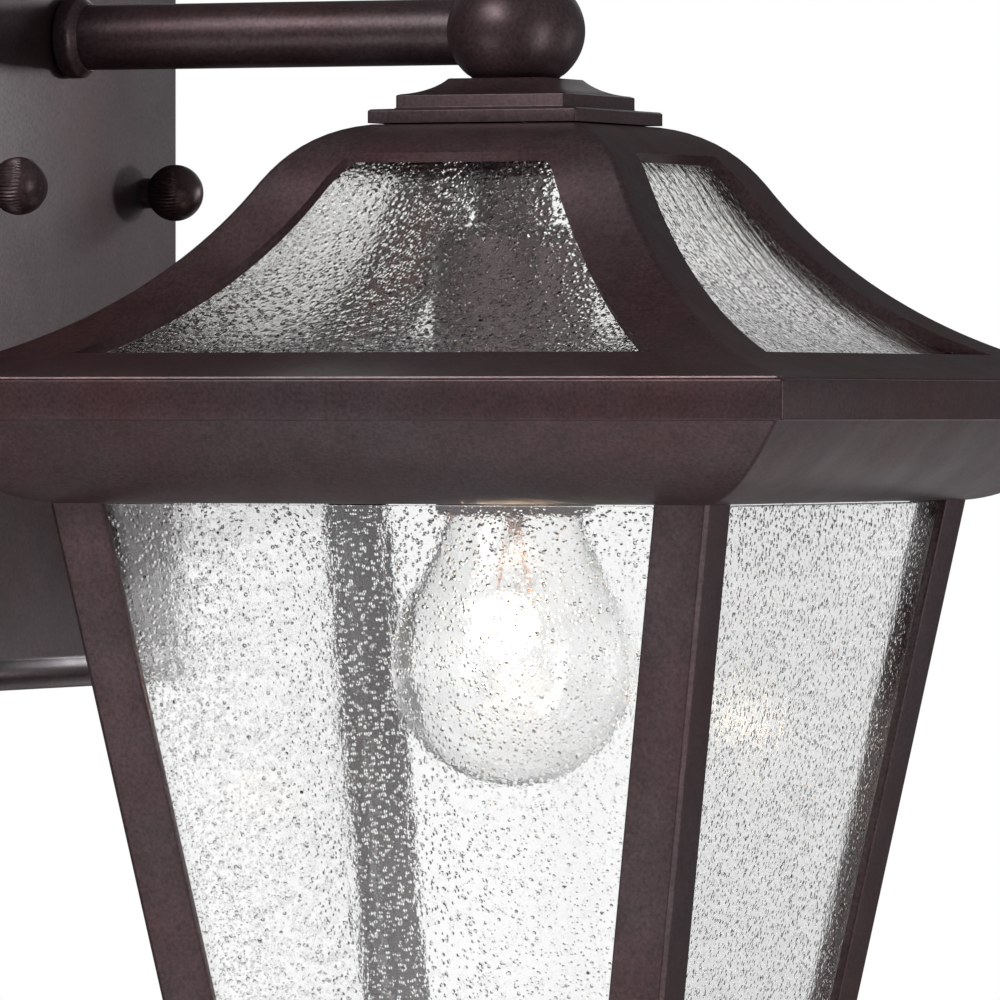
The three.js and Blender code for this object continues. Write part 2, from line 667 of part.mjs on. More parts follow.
function bulbBase() {
  const { baseTop, shoulder } = BULB;
  const [outer, inner, rim] = [13.1, 12.3, shoulder + GAP];
  return turned([
    [0, baseTop], [3.4, baseTop], [4.8, baseTop - 1.2], [9.5, baseTop - 4], [outer, baseTop - 5],
    [outer, rim], [inner, rim], [inner, baseTop - 6.5], [0, baseTop - 6.5],
  ], { segments: 28 });
}
onLantern('bulb_base', bulbBase(), brass);

// Outside of the glass from the neck to the tip, or its inside at a given inset.
function envelopeLine(inset) {
  const { radius, centre, neck, shoulder } = BULB;
  const meet = 0.19 * Math.PI;
  const onGlobe = (angle) => new THREE.Vector2(
    (radius - inset) * Math.cos(angle),
    centre + (radius - inset) * Math.sin(angle),
  );
  const start = onGlobe(meet);
  const pull = 14;
  const neckLine = new THREE.CubicBezierCurve(
    new THREE.Vector2(neck - inset, shoulder - inset),
    new THREE.Vector2(neck - inset + 0.2, shoulder - 10),
    new THREE.Vector2(start.x - pull * Math.sin(meet), start.y + pull * Math.cos(meet)),
    start,
  ).getPoints(5);
  const line = neckLine.map(({ x, y }) => [x, y]);
  const steps = 9;
  for (let i = 1; i <= steps; i += 1) {
    const { x, y } = onGlobe(THREE.MathUtils.lerp(meet, -Math.PI / 2, i / steps));
    line.push([i === steps ? 0 : x, y]);
  }
  return line;
}

function bulbEnvelope() {
  const hole = 7;
  const { shoulder, glass } = BULB;
  return turned([
    ...envelopeLine(glass).reverse(), [hole, shoulder - glass], [hole, shoulder], ...envelopeLine(0),
  ], { segments: 26 });
}
onLantern('bulb_envelope', bulbEnvelope(), bulbGlass);

const MOUNT_TIP = -84;
onLantern('bulb_mount', turned([
  [0, -47], [5.8, -47], [5.8, -58], [3.4, -66], [2.6, -76],
  [2.4, MOUNT_TIP + 2], [1.4, MOUNT_TIP], [0, MOUNT_TIP],
], { segments: 20 }), bulbGlass);

// Lead wires and filament as one continuous wire: out of the mount, across, back in.
function filament() {
  const wire = 0.4;
  const coilHeight = -107.5;
  const path = new THREE.CatmullRomCurve3([
    new THREE.Vector3(0, -3.4, MOUNT_TIP + 6),
    new THREE.Vector3(0, -6, MOUNT_TIP - 4),
    new THREE.Vector3(0, -12.5, coilHeight + 3),
    new THREE.Vector3(0, -12, coilHeight),
    new THREE.Vector3(-2.4, -6, coilHeight - 1.3),
    new THREE.Vector3(-3, 0, coilHeight - 1.6),
    new THREE.Vector3(-2.4, 6, coilHeight - 1.3),
    new THREE.Vector3(0, 12, coilHeight),
    new THREE.Vector3(0, 12.5, coilHeight + 3),
    new THREE.Vector3(0, 6, MOUNT_TIP - 4),
    new THREE.Vector3(0, 3.4, MOUNT_TIP + 6),
  ]);
  const section = new THREE.Shape().absarc(0, 0, wire, 0, 2 * Math.PI);
  return solid(new THREE.ExtrudeGeometry(section, {
    steps: 44, extrudePath: path, bevelEnabled: false, curveSegments: 3,
  }));
}
onLantern('filament', filament(), tungsten);

export default lamp;
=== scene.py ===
"""Outdoor wall lantern: dark bronze frame, bent roof panes and seeded body panes."""

import math

import bmesh
import bpy
from mathutils import Matrix, Vector, noise


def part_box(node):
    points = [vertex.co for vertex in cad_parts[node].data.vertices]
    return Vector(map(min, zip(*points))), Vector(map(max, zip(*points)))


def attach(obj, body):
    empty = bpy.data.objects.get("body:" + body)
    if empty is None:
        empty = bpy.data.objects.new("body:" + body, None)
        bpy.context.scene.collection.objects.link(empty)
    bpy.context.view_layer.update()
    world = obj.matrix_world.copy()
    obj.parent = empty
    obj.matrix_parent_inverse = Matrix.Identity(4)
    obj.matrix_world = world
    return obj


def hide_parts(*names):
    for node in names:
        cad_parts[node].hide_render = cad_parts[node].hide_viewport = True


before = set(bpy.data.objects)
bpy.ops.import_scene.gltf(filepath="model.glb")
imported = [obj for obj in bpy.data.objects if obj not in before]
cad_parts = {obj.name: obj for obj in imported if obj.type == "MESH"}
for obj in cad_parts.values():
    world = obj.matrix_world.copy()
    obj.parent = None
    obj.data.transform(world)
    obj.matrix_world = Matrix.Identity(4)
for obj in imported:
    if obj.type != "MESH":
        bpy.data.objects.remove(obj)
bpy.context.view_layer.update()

MM = 0.001
TURN = 2 * math.pi


# ---------------------------------------------------------------- places from the frame

def cad(node):
    """Lowest and highest corner of a CAD node, in millimetres."""
    low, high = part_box(node)
    return low / MM, high / MM


def mid(node, axis):
    low, high = cad(node)
    return (low[axis] + high[axis]) / 2


def span(node, axis):
    low, high = cad(node)
    return high[axis] - low[axis]


X, Y, Z = range(3)
AXIS = mid("roof_cap", X)                    # the lantern's vertical axis
SIDES = {"front": 0, "right": 90, "back": 180, "left": -90}
CORNERS = {"front_right": 0, "back_right": 90, "back_left": 180, "front_left": -90}
WALL_SIDES = ("left", "right")


# ---------------------------------------------------------------- outlines

def arc(centre, radius, start, end, steps):
    """Points of an arc; angles in degrees. `radius` is a number or a pair for an ellipse."""
    rx, ry = radius if isinstance(radius, tuple) else (radius, radius)
    angles = [math.radians(start + (end - start) * i / steps) for i in range(steps + 1)]
    return [(centre[0] + rx * math.cos(a), centre[1] + ry * math.sin(a)) for a in angles]


def bezier(*controls, steps=12):
    """Points of a cubic Bezier curve in two dimensions."""
    out = []
    for i in range(steps + 1):
        t = i / steps
        weights = ((1 - t) ** 3, 3 * t * (1 - t) ** 2, 3 * t * t * (1 - t), t ** 3)
        out.append(tuple(sum(w * c[k] for w, c in zip(weights, controls)) for k in (0, 1)))
    return out


def filleted(points, radius, closed=False, steps=3, least=20):
    """Rounds each corner of an outline that turns by more than `least` degrees."""
    out = []
    count = len(points)
    for i, here in enumerate(points):
        if not closed and i in (0, count - 1):
            out.append(here)
            continue
        corner = Vector(here)
        back, ahead = Vector(points[i - 1]) - corner, Vector(points[(i + 1) % count]) - corner
        if min(back.length, ahead.length) < 1e-6:
            continue
        bend = math.pi - back.angle(ahead)
        if bend < math.radians(least):
            out.append(here)
            continue
        reach = min(radius * math.tan(bend / 2), 0.45 * back.length, 0.45 * ahead.length)
        start, end = corner + back.normalized() * reach, corner + ahead.normalized() * reach
        for k in range(steps + 1):
            t = k / steps
            out.append(tuple(start * (1 - t) ** 2 + corner * 2 * t * (1 - t) + end * t * t))
    return out


# ---------------------------------------------------------------- shapes: (vertices, faces) in mm

def skin(rings, along_closed=False, capped=False):
    """Quads between successive rings of equally many points."""
    size = len(rings[0])
    verts = [p for ring in rings for p in ring]
    faces = []
    last = len(rings) if along_closed else len(rings) - 1
    for i in range(last):
        a, b = i * size, (i + 1) % len(rings) * size
        for j in range(size):
            k = (j + 1) % size
            faces.append((a + j, a + k, b + k, b + j))
    if capped:
        faces.append(tuple(range(size)))
        faces.append(tuple(range((len(rings) - 1) * size, len(rings) * size)))
    return verts, faces


def merged(*shapes):
    verts, faces = [], []
    for shape_verts, shape_faces in shapes:
        first = len(verts)
        verts += shape_verts
        faces += [tuple(first + i for i in face) for face in shape_faces]
    return verts, faces


def moved(shape, matrix):
    return [tuple(matrix @ Vector(v)) for v in shape[0]], shape[1]


def turned_about_axis(shape, degrees):
    """Turns a shape about the lantern's vertical axis, after placing it there."""
    turn = Matrix.Translation((AXIS, 0, 0)) @ Matrix.Rotation(math.radians(degrees), 4, "Z")
    return moved(shape, turn)


LAID = {
    "x": lambda r, a, d: (d, r * math.cos(a), r * math.sin(a)),
    "y": lambda r, a, d: (r * math.sin(a), d, r * math.cos(a)),
    "z": lambda r, a, d: (r * math.cos(a), r * math.sin(a), d),
}


def revolved(profile, along="z", at=(0, 0, 0), segments=72, shape_radius=None):
    """Turns a profile of (radius, distance). A profile off the axis closes on itself.
    shape_radius(radius, angle, distance) may change the radius round the turn."""
    rings = []
    for radius, distance in profile:
        ring = []
        for k in range(segments):
            angle = TURN * k / segments
            r = shape_radius(radius, angle, distance) if shape_radius else radius
            point = LAID[along](r, angle, distance)
            ring.append(tuple(p + q for p, q in zip(point, at)))
        rings.append(ring)
    on_axis = profile[0][0] == 0 and profile[-1][0] == 0
    return skin(rings, along_closed=not on_axis)


def square_ring(half, height, corner, steps=4, stations=()):
    """Rounded square of half width `half`; stations are extra places along each side."""
    corner = min(corner, 0.4 * half)
    edge = half - corner
    side = [(half, -edge)]
    side += [(half, s) for s in stations]
    side += arc((edge, edge), corner, 0, 90, steps)[:-1]
    ring = []
    for quarter in range(4):
        c, s = ((1, 0), (0, 1), (-1, 0), (0, -1))[quarter]
        ring += [(c * x - s * y, s * x + c * y, height) for x, y in side]
    return ring


def squared(profile, corner=0.8, closed=True):
    """Square counterpart of revolved(), about the lantern's axis."""
    rings = [square_ring(max(half, 0.01), height, corner) for half, height in profile]
    return turned_about_axis(skin(rings, along_closed=closed), 0)


def run_along_y(outline, low, high):
    """Outline in (x, z) run along Y, closed at both ends."""
    return skin([[(x, y, z) for x, z in outline] for y in (low, high)], capped=True)


def tube_along(path, radius, sides=10):
    """Round bar along a list of points, closed at both ends."""
    rings = []
    up = Vector((0, 0, 1))
    for i, point in enumerate(path):
        ahead = Vector(path[min(i + 1, len(path) - 1)]) - Vector(path[max(i - 1, 0)])
        ahead.normalize()
        across = ahead.cross(up)
        if across.length < 0.2:
            across = ahead.cross(Vector((1, 0, 0)))
        across.normalize()
        up = across.cross(ahead)
        rings.append([
            tuple(Vector(point) + radius * (math.cos(a) * across + math.sin(a) * up))
            for a in (TURN * k / sides for k in range(sides))
        ])
    return skin(rings, capped=True)


def hexagon(across_flats):
    """Radius function of a hexagon with its corners cut round."""
    def radius(limit, angle, _):
        flat = across_flats / 2 / math.cos((angle % (TURN / 6)) - TURN / 12)
        return min(limit, flat)
    return radius


def nut(across_flats, bore, low, high, along, at):
    """Hexagonal nut, chamfered at both ends."""
    chamfer = 0.09 * across_flats
    corner = across_flats / math.sqrt(3)
    profile = [
        (bore, low), (corner - chamfer, low), (corner, low + 0.6 * chamfer),
        (corner, high - 0.6 * chamfer), (corner - chamfer, high), (bore, high),
    ]
    hexed = hexagon(across_flats)

    def radius(limit, angle, distance):
        return limit if limit <= bore else hexed(limit, angle, distance)
    return revolved(profile, along, at, 72, radius)


# ---------------------------------------------------------------- pieces

def round_edges(piece, width, above_degrees):
    """Rounds the edges that turn by more than `above_degrees`; the width is in millimetres."""
    rounding = piece.modifiers.new("rounding", "BEVEL")
    rounding.width = width * MM
    rounding.segments = 3
    rounding.limit_method = "ANGLE"
    rounding.angle_limit = math.radians(above_degrees)
    rounding.harden_normals = True


def add_piece(name, shape, material, slot, body="lantern", stands_for=(), sharp=32, bevel=0):
    """Makes a mesh of a shape, welded and with smooth sides, and hands it to the frame."""
    verts, faces = shape
    bm = bmesh.new()
    corners = [bm.verts.new([c * MM for c in v]) for v in verts]
    for face in faces:
        bm.faces.new([corners[i] for i in face])
    bmesh.ops.remove_doubles(bm, verts=bm.verts, dist=2e-6)
    bmesh.ops.recalc_face_normals(bm, faces=bm.faces)
    mesh = bpy.data.meshes.new(name)
    bm.to_mesh(mesh)
    bm.free()
    mesh.shade_smooth()
    mesh.set_sharp_from_angle(angle=math.radians(sharp))
    piece = bpy.data.objects.new(name, mesh)
    bpy.context.scene.collection.objects.link(piece)
    mesh.materials.append(material)
    if bevel:
        round_edges(piece, bevel, 50)
    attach(piece, body)
    if stands_for:
        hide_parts(*stands_for)
    return piece


def bronze_piece(name, shape, stands_for=(), **more):
    return add_piece(name, shape, BRONZE, "bronze_paint", stands_for=stands_for, **more)


def keep_cad(node, material):
    """A CAD node that stays, with a better material."""
    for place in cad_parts[node].material_slots:
        place.material = material


# ---------------------------------------------------------------- materials

class Recipe:
    """A node material that is written as short calls."""

    def __init__(self, name):
        self.material = bpy.data.materials.new(name)
        self.material.use_nodes = True
        self.tree = self.material.node_tree
        self.shader = self.tree.nodes["Principled BSDF"]
        self.place = self.node("ShaderNodeTexCoord").outputs["Object"]

    def node(self, kind, **settings):
        made = self.tree.nodes.new(kind)
        for key, value in settings.items():
            setattr(made, key, value)
        return made

    def link(self, source, target):
        self.tree.links.new(source, target)

    def stretched(self, scale):
        mapping = self.node("ShaderNodeMapping")
        mapping.inputs["Scale"].default_value = scale
        self.link(self.place, mapping.inputs["Vector"])
        return mapping.outputs["Vector"]

    def noise(self, scale, detail=3, rough=0.55, where=None, distortion=0):
        made = self.node("ShaderNodeTexNoise")
        made.inputs["Scale"].default_value = scale
        made.inputs["Detail"].default_value = detail
        made.inputs["Roughness"].default_value = rough
        made.inputs["Distortion"].default_value = distortion
        self.link(where or self.place, made.inputs["Vector"])
        return made.outputs["Fac"]

    def cells(self, scale, where=None, randomness=1):
        made = self.node("ShaderNodeTexVoronoi")
        made.inputs["Scale"].default_value = scale
        made.inputs["Randomness"].default_value = randomness
        self.link(where or self.place, made.inputs["Vector"])
        return made.outputs["Distance"]

    def ramp(self, source, *stops):
        made = self.node("ShaderNodeValToRGB")
        elements = made.color_ramp.elements
        while len(elements) < len(stops):
            elements.new(0.5)
        for element, (position, colour) in zip(elements, stops):
            element.position = position
            element.color = (*colour, 1) if isinstance(colour, tuple) else (colour, colour, colour, 1)
        self.link(source, made.inputs["Fac"])
        return made.outputs["Color"]

    def mix(self, factor, first, second, blend="MIX"):
        made = self.node("ShaderNodeMix", data_type="RGBA", blend_type=blend)
        for value, name in ((factor, "Factor"), (first, "A"), (second, "B")):
            socket = next(s for s in made.inputs if s.name == name and s.enabled)
            if isinstance(value, bpy.types.NodeSocket):
                self.link(value, socket)
            elif isinstance(value, tuple):
                socket.default_value = (*value, 1)
            else:
                socket.default_value = value
        return next(s for s in made.outputs if s.enabled)

    def maths(self, operation, first, second=0.0, clamp=False):
        made = self.node("ShaderNodeMath", operation=operation, use_clamp=clamp)
        for value, socket in ((first, made.inputs[0]), (second, made.inputs[1])):
            if isinstance(value, bpy.types.NodeSocket):
                self.link(value, socket)
            else:
                socket.default_value = value
        return made.outputs[0]

    def bump(self, height, strength, distance, onto=None):
        made = self.node("ShaderNodeBump")
        made.inputs["Strength"].default_value = strength
        made.inputs["Distance"].default_value = distance * MM
        self.link(height, made.inputs["Height"])
        if onto:
            self.link(onto, made.inputs["Normal"])
        return made.outputs["Normal"]

    def set(self, **values):
        """Sets sockets of the shader: numbers as they are, outputs by a link."""
        for name, value in values.items():
            socket = self.shader.inputs[name.replace("_", " ").title().replace("Ior", "IOR")]
            if isinstance(value, bpy.types.NodeSocket):
                self.link(value, socket)
            elif isinstance(value, tuple):
                socket.default_value = (*value, 1)
            else:
                socket.default_value = value
        return self


def bronze():
    """Oil-rubbed bronze paint: brown-purple, faintly mottled, satin, with fine grain."""
    r = Recipe("oil_rubbed_bronze")
    broad = r.ramp(r.noise(14, 4, 0.6), (0.32, (0.098, 0.042, 0.046)),
                   (0.50, (0.090, 0.049, 0.056)), (0.70, (0.086, 0.060, 0.066)))
    blotch = r.ramp(r.noise(110, 4, 0.65), (0.35, 0.86), (0.65, 1.10))
    speckle = r.ramp(r.noise(1050, 2, 0.7), (0.3, 0.62), (0.7, 1.38))
    colour = r.mix(1.0, r.mix(1.0, broad, blotch, "MULTIPLY"), speckle, "MULTIPLY")
    gloss = r.ramp(r.noise(60, 4, 0.6), (0.3, 0.36), (0.7, 0.47))
    grain = r.bump(r.noise(1100, 3, 0.6), 0.3, 0.05)
    waves = r.bump(r.noise(60, 2, 0.5), 0.10, 0.2, grain)
    r.set(base_color=colour, metallic=0.5, roughness=gloss, normal=waves)
    return r.set(coat_weight=0.25, coat_roughness=0.32).material


def seeded_glass(name, streak, dots=(720, 0.34), ripples=0.09, specks=0.14, tint=(0.965, 0.968, 0.965)):
    """Clear hammered glass with tiny bubbles and scattered seeds, painted darker at the seeds as painted
    shade.

    `streak` stretches its ripples. `ripples` and `specks` are the heights of its waves and tiny
    bubbles, in millimetres. `dots` are the bubbles' number per metre and their relative radius.
    """
    r = Recipe(name)
    ripple = r.noise(150, 2, 0.5, r.stretched(streak), 0.3)
    dimples = r.noise(880, 2, 0.5)
    tiny = r.ramp(r.cells(dots[0]), (0.0, 1.0), (dots[1], 0.0))
    small = r.ramp(r.cells(560), (0.0, 1.0), (0.08, 0.8), (0.15, 0.0))
    large = r.ramp(r.cells(290), (0.0, 1.0), (0.09, 0.8), (0.16, 0.0))
    spots = r.maths("MAXIMUM", r.maths("MULTIPLY", small, 0.7), large)
    patches = r.ramp(r.noise(45, 3, 0.6), (0.35, 0.3), (0.65, 1.0))
    # The seeds' darker colour is painted shade, standing in for the dark rims that refraction gives a
    # bubble.
    seed_painted_shade = r.maths("MULTIPLY", r.maths("MULTIPLY", spots, patches), 0.8)
    colour = r.mix(seed_painted_shade, tint, (0.40, 0.37, 0.34))
    normal = r.bump(ripple, 1.0, ripples)
    normal = r.bump(dimples, 1.0, 0.025, normal)
    normal = r.bump(tiny, 1.0, specks, normal)
    normal = r.bump(spots, 1.0, 0.16, normal)
    r.set(base_color=colour, roughness=0.01, normal=normal)
    return r.set(ior=1.48, transmission_weight=1.0).material


def clear_glass():
    """Thin bulb glass with the faint waves of a blown envelope."""
    r = Recipe("bulb_glass")
    dust = r.ramp(r.noise(900, 2, 0.7), (0.35, (0.998, 0.998, 0.998)), (0.75, (0.975, 0.975, 0.97)))
    waves = r.bump(r.noise(45, 2, 0.5), 0.15, 0.5)
    return r.set(base_color=dust, roughness=0.0, ior=1.45, transmission_weight=1.0, normal=waves).material


def plated(name, dark, light, scale=220, rough=(0.24, 0.42)):
    """Bare or plated metal with faint cloudy patches and scuffs."""
    r = Recipe(name)
    colour = r.ramp(r.noise(scale, 5, 0.65), (0.3, dark), (0.7, light))
    gloss = r.ramp(r.noise(scale * 2, 3, 0.6), (0.3, rough[0]), (0.7, rough[1]))
    scuff = r.bump(r.noise(1600, 2, 0.6), 0.15, 0.05)
    return r.set(base_color=colour, metallic=1.0, roughness=gloss, normal=scuff).material


def glazed():
    """White glazed porcelain with a slight cream pooling."""
    r = Recipe("porcelain")
    colour = r.ramp(r.noise(70, 4, 0.6), (0.3, (0.80, 0.77, 0.70)), (0.7, (0.88, 0.87, 0.83)))
    orange_peel = r.bump(r.noise(500, 2, 0.5), 0.1, 0.1)
    gloss = r.ramp(r.noise(40, 2, 0.5), (0.3, 0.12), (0.7, 0.24))
    return r.set(base_color=colour, roughness=gloss, normal=orange_peel).material


def glowing():
    """White-hot coiled wire, a little cooler in patches."""
    r = Recipe("filament_glow")
    heat = r.ramp(r.noise(160, 2, 0.5), (0.3, (1.0, 0.52, 0.18)), (0.7, (1.0, 0.74, 0.42)))
    return r.set(base_color=heat, roughness=0.4, emission_color=heat, emission_strength=60.0).material


BRONZE = bronze()
BODY_GLASS = seeded_glass("seeded_glass", (1, 1, 0.4), (600, 0.29), specks=0.12)
# The same seeded glass has a different tint on each pane: the front roof pane is darkened as painted shade,
# and the other roof panes are made clearer than the body glass as painted brightness.
PLAIN_ROOF_GLASS = seeded_glass("seeded_roof_glass", (0.8, 0.8, 0.8), (620, 0.44), ripples=0.07,
                                tint=(1.0, 1.0, 0.985))
STREAKED_SHADED_ROOF_GLASS = seeded_glass("streaked_shaded_roof_glass", (0.3, 2.4, 0.3), ripples=0.16, specks=0.12,
                                   tint=(0.87, 0.87, 0.865))
BULB_GLASS = clear_glass()
ZINC = plated("zinc_steel", (0.46, 0.46, 0.44), (0.66, 0.65, 0.62))
# Zinc darkened as painted shade: the stud rods sit in the shadow of the ball nuts.
STUD_SHADE_ZINC = plated("zinc_painted_shade", (0.10, 0.095, 0.09), (0.20, 0.19, 0.18), rough=(0.35, 0.5))
BRASS = plated("brass", (0.55, 0.38, 0.15), (0.78, 0.60, 0.29))
COPPER = plated("lead_wire", (0.62, 0.25, 0.12), (0.80, 0.38, 0.20))
GREEN = plated("green_steel", (0.02, 0.16, 0.05), (0.05, 0.26, 0.10), rough=(0.35, 0.5))
PORCELAIN = glazed()
GLOW = glowing()


# ---------------------------------------------------------------- wall bracket

def threaded(radius, low, high, pitch, at, depth=0.35):
    """Rod along X with a helical thread and pointed ends."""
    steps = int((high - low) / pitch * 6)
    profile = [(0, low), (radius - depth, low)]
    profile += [(radius, low + (high - low) * i / steps) for i in range(1, steps)]
    profile += [(radius - depth, high), (0, high)]

    def thread(r, angle, distance):
        if r < radius:
            return r
        phase = (distance / pitch - angle / TURN) % 1
        return radius - depth * abs(2 * phase - 1)
    return revolved(profile, "x", at, 24, thread)


THREAD_PITCH = 0.794
for side in WALL_SIDES:
    stud, lock = f"mounting_stud_{side}", f"stud_nut_{side}"
    (low, high), at = cad(stud), (0, mid(stud, Y), 0)
    # The stud rods take the darkened zinc, which is painted shade for the ball nuts' shadow.
    add_piece(f"stud_rod_{side}", threaded(span(stud, Y) / 2, low.x, high.x, THREAD_PITCH, at),
              STUD_SHADE_ZINC, "zinc_steel", stands_for=[stud])
    low, high = cad(lock)
    add_piece(f"stud_hex_nut_{side}", nut(span(lock, Y), 2.4, low.x, high.x, "x", at),
              ZINC, "zinc_steel", stands_for=[lock])

for node in ("crossbar", "arm_washer", "nipple", "cap_nut", "finial_nut", "hinge_pin"):
    keep_cad(node, ZINC)
for node in ("screw_shell", "centre_contact"):
    keep_cad(node, BRASS)
keep_cad("ground_screw", GREEN)
keep_cad("socket_insulator", PORCELAIN)


# ---------------------------------------------------------------- backplate

PAN_SHEET = 1.2
LIP_RADIUS = 4.0
LIP_PROUD = 2.0


def backplate():
    """Pressed pan: flat face with a half-round lip above and below, open at the rear."""
    high = cad("backplate")[1]
    face_x = high.x - LIP_PROUD
    lip_x = high.x - LIP_RADIUS
    edge = high.z - 2 * LIP_RADIUS

    def side(inset):
        lip = arc((lip_x, high.z - LIP_RADIUS), LIP_RADIUS - inset, 90, -56, 14)
        corner = (face_x - inset, edge - inset)
        upper = filleted([(0, high.z - inset), *lip, corner, (face_x - inset, 0)], 0.5, steps=3)[:-1]
        return upper + [(x, -z) for x, z in reversed(upper)]

    half = high.y

    def row(outline, y):
        return [(x, y, z) for x, z in outline]

    rounding = 0.8
    inner = side(PAN_SHEET)
    rows = []
    for sign in (-1, 1):
        ends = []
        for angle in (0, 30, 60, 90):
            inset = rounding * (1 - math.sin(math.radians(angle)))
            y = half - rounding * (1 - math.cos(math.radians(angle)))
            ends.append(row(side(inset), sign * y))
        rows += ends if sign < 0 else list(reversed(ends))
    outside = open_skin(rows)
    caps = [open_cap(row(side(rounding), sign * half)) for sign in (-1, 1)]
    reach = half - PAN_SHEET
    inside = open_skin([row(inner, sign * reach) for sign in (-1, 1)])
    inner_caps = [open_cap(row(inner, sign * reach)) for sign in (-1, 1)]
    return merged(outside, *caps, inside, *inner_caps, rear_rim(half, reach, high.z, PAN_SHEET))


def open_skin(rows):
    """Quads between rows of points that don't close on themselves."""
    size = len(rows[0])
    verts = [p for row in rows for p in row]
    faces = [
        (i * size + j, i * size + j + 1, (i + 1) * size + j + 1, (i + 1) * size + j)
        for i in range(len(rows) - 1) for j in range(size - 1)
    ]
    return verts, faces


def open_cap(row):
    return row, [tuple(range(len(row)))]


def rear_rim(half, reach, top, sheet):
    """Flat rim of the pan against the wall."""
    outer = [(0, -half, -top), (0, half, -top), (0, half, top), (0, -half, top)]
    low = top - sheet
    inner = [(0, -reach, -low), (0, reach, -low), (0, reach, low), (0, -reach, low)]
    return skin([outer, inner])


bronze_piece("backplate_pan", backplate(), ["backplate"])


# ---------------------------------------------------------------- ball nuts

KNURLS = 46
KNURL_DEPTH = 0.4
KNURL_FOOT = 36                              # degrees from the wall side where the ball is cut flat
KNURL_END, KNURL_FADE = 3.2, 2.2             # the ridges end this far past the middle, after this fade
HUB = 3.8


def ball_nut(side):
    """Ball cut flat on its wall side, with straight ridges that fade past its middle, on a plain hub."""
    node = f"ball_nut_{side}"
    (low, high), radius = cad(node), span(node, Y) / 2
    centre = high.x - radius
    outline = [(z, x) for x, z in arc((centre, 0), radius, 0, 180 - KNURL_FOOT, 40)]
    rear = outline[-1]
    flat_x = rear[1] - 0.15
    profile = [(0, high.x), *outline[1:], (rear[0] - 0.3, flat_x), (HUB, flat_x), (HUB, low.x), (0, low.x)]

    def knurled(r, angle, distance):
        fade = min(1, max(0, (centre + KNURL_END - distance) / KNURL_FADE)) * (r > HUB + 0.5)
        return r - fade * KNURL_DEPTH * (0.5 - 0.5 * math.cos(KNURLS * angle))
    return revolved(profile, "x", (0, mid(node, Y), 0), KNURLS * 6, knurled)


for side in WALL_SIDES:
    node = f"ball_nut_{side}"
    bronze_piece(f"knurled_ball_{side}", ball_nut(side), [node], body=node, sharp=60)


# ---------------------------------------------------------------- arm and ball

ARM_HEIGHT = mid("arm_tube", Z)
ARM_AT = (0, 0, ARM_HEIGHT)
ARM_RADIUS = span("arm_tube", Y) / 2
ARM_WALL = 1.5
ARM_NUT_ACROSS = 23


def arm_tube():
    low, high = cad("arm_tube")
    end = 0.4
    return revolved([
        (ARM_RADIUS - ARM_WALL, low.x), (ARM_RADIUS - end, low.x), (ARM_RADIUS, low.x + end),
        (ARM_RADIUS, high.x), (ARM_RADIUS - ARM_WALL, high.x),
    ], "x", ARM_AT, 96)


def arm_collar():
    """Turned collar: rounded wall side, a crisp front edge and a hollow down to the arm."""
    (low, high), radius = cad("arm_collar"), span("arm_collar", Y) / 2
    bore = ARM_RADIUS + 0.05
    outline = filleted([
        (low.x, bore), (low.x, radius), (high.x - 2.0, radius), (high.x - 1.2, radius - 0.9),
        (high.x, bore + 0.3), (high.x, bore),
    ], 1.1, steps=6)
    return revolved([(r, x) for x, r in outline], "x", ARM_AT, 96)


def coupling_ball():
    (low, high), radius = cad("coupling_ball"), span("coupling_ball", Y) / 2
    semi = high.z - ARM_HEIGHT
    foot = math.degrees(math.asin((low.z - ARM_HEIGHT) / semi))
    shell = arc((0, ARM_HEIGHT), (radius, semi), foot, 90, 40)
    foot_radius = shell[0][0]
    seat = cad("roof_cap")[1].z + 0.05
    profile = [
        (0, seat), (foot_radius - 0.8, seat), (foot_radius - 0.2, low.z), (foot_radius + 0.1, low.z + 0.2),
        *shell[1:-1], (0, high.z),
    ]
    return revolved(profile, "z", (AXIS, 0, 0), 128)


bronze_piece("arm", arm_tube(), ["arm_tube"])
bronze_piece("arm_bead", arm_collar(), ["arm_collar"])
bronze_piece("ball_coupling", coupling_ball(), ["coupling_ball"])
low, high = cad("arm_nut")
add_piece("arm_hex_nut", nut(ARM_NUT_ACROSS, ARM_RADIUS + 0.2, low.x, high.x, "x", ARM_AT),
          ZINC, "zinc_steel", stands_for=["arm_nut"])


# ---------------------------------------------------------------- cap

def roof_cap():
    """Flared top over two square steps, hollow from below."""
    (low, high), lower = cad("roof_cap"), span("roof_cap", X) / 2
    top, bottom = high.z, low.z
    upper, plateau = lower - 5.13, 12.4
    flare = bezier((plateau, top), (plateau + 2.2, top - 2.4), (plateau + 5.5, top - 3.6),
                   (upper - 0.9, top - 3.9), steps=10)
    outline = [
        (plateau - 1, top), *flare, (upper, top - 4.2), (upper, top - 7.2), (upper + 0.5, top - 7.4),
        (lower - 0.5, top - 7.6), (lower, top - 8.0), (lower, bottom),
    ]
    hollow = [(19, bottom), (19, bottom + 4), (11, top - 3.5), (0, top - 3.5)]
    return squared([(0, top), *filleted(outline, 0.35, steps=2), *hollow], corner=0.7, closed=False)


bronze_piece("stepped_cap", roof_cap(), ["roof_cap"])


# ---------------------------------------------------------------- roof

ROOF_TOP, TOP_HALF = 14.3, 26.5
ROOF_SHEET = 3.0
RIM_HALF, RIM_HEIGHT = 113.6, -46.1
WAIST = (49.0, -3.3)
WINDOW_HALVES = (41.3, 94.0)
WINDOW_INSETS = (16.5, 20.5)
WINDOW_ROWS = 30

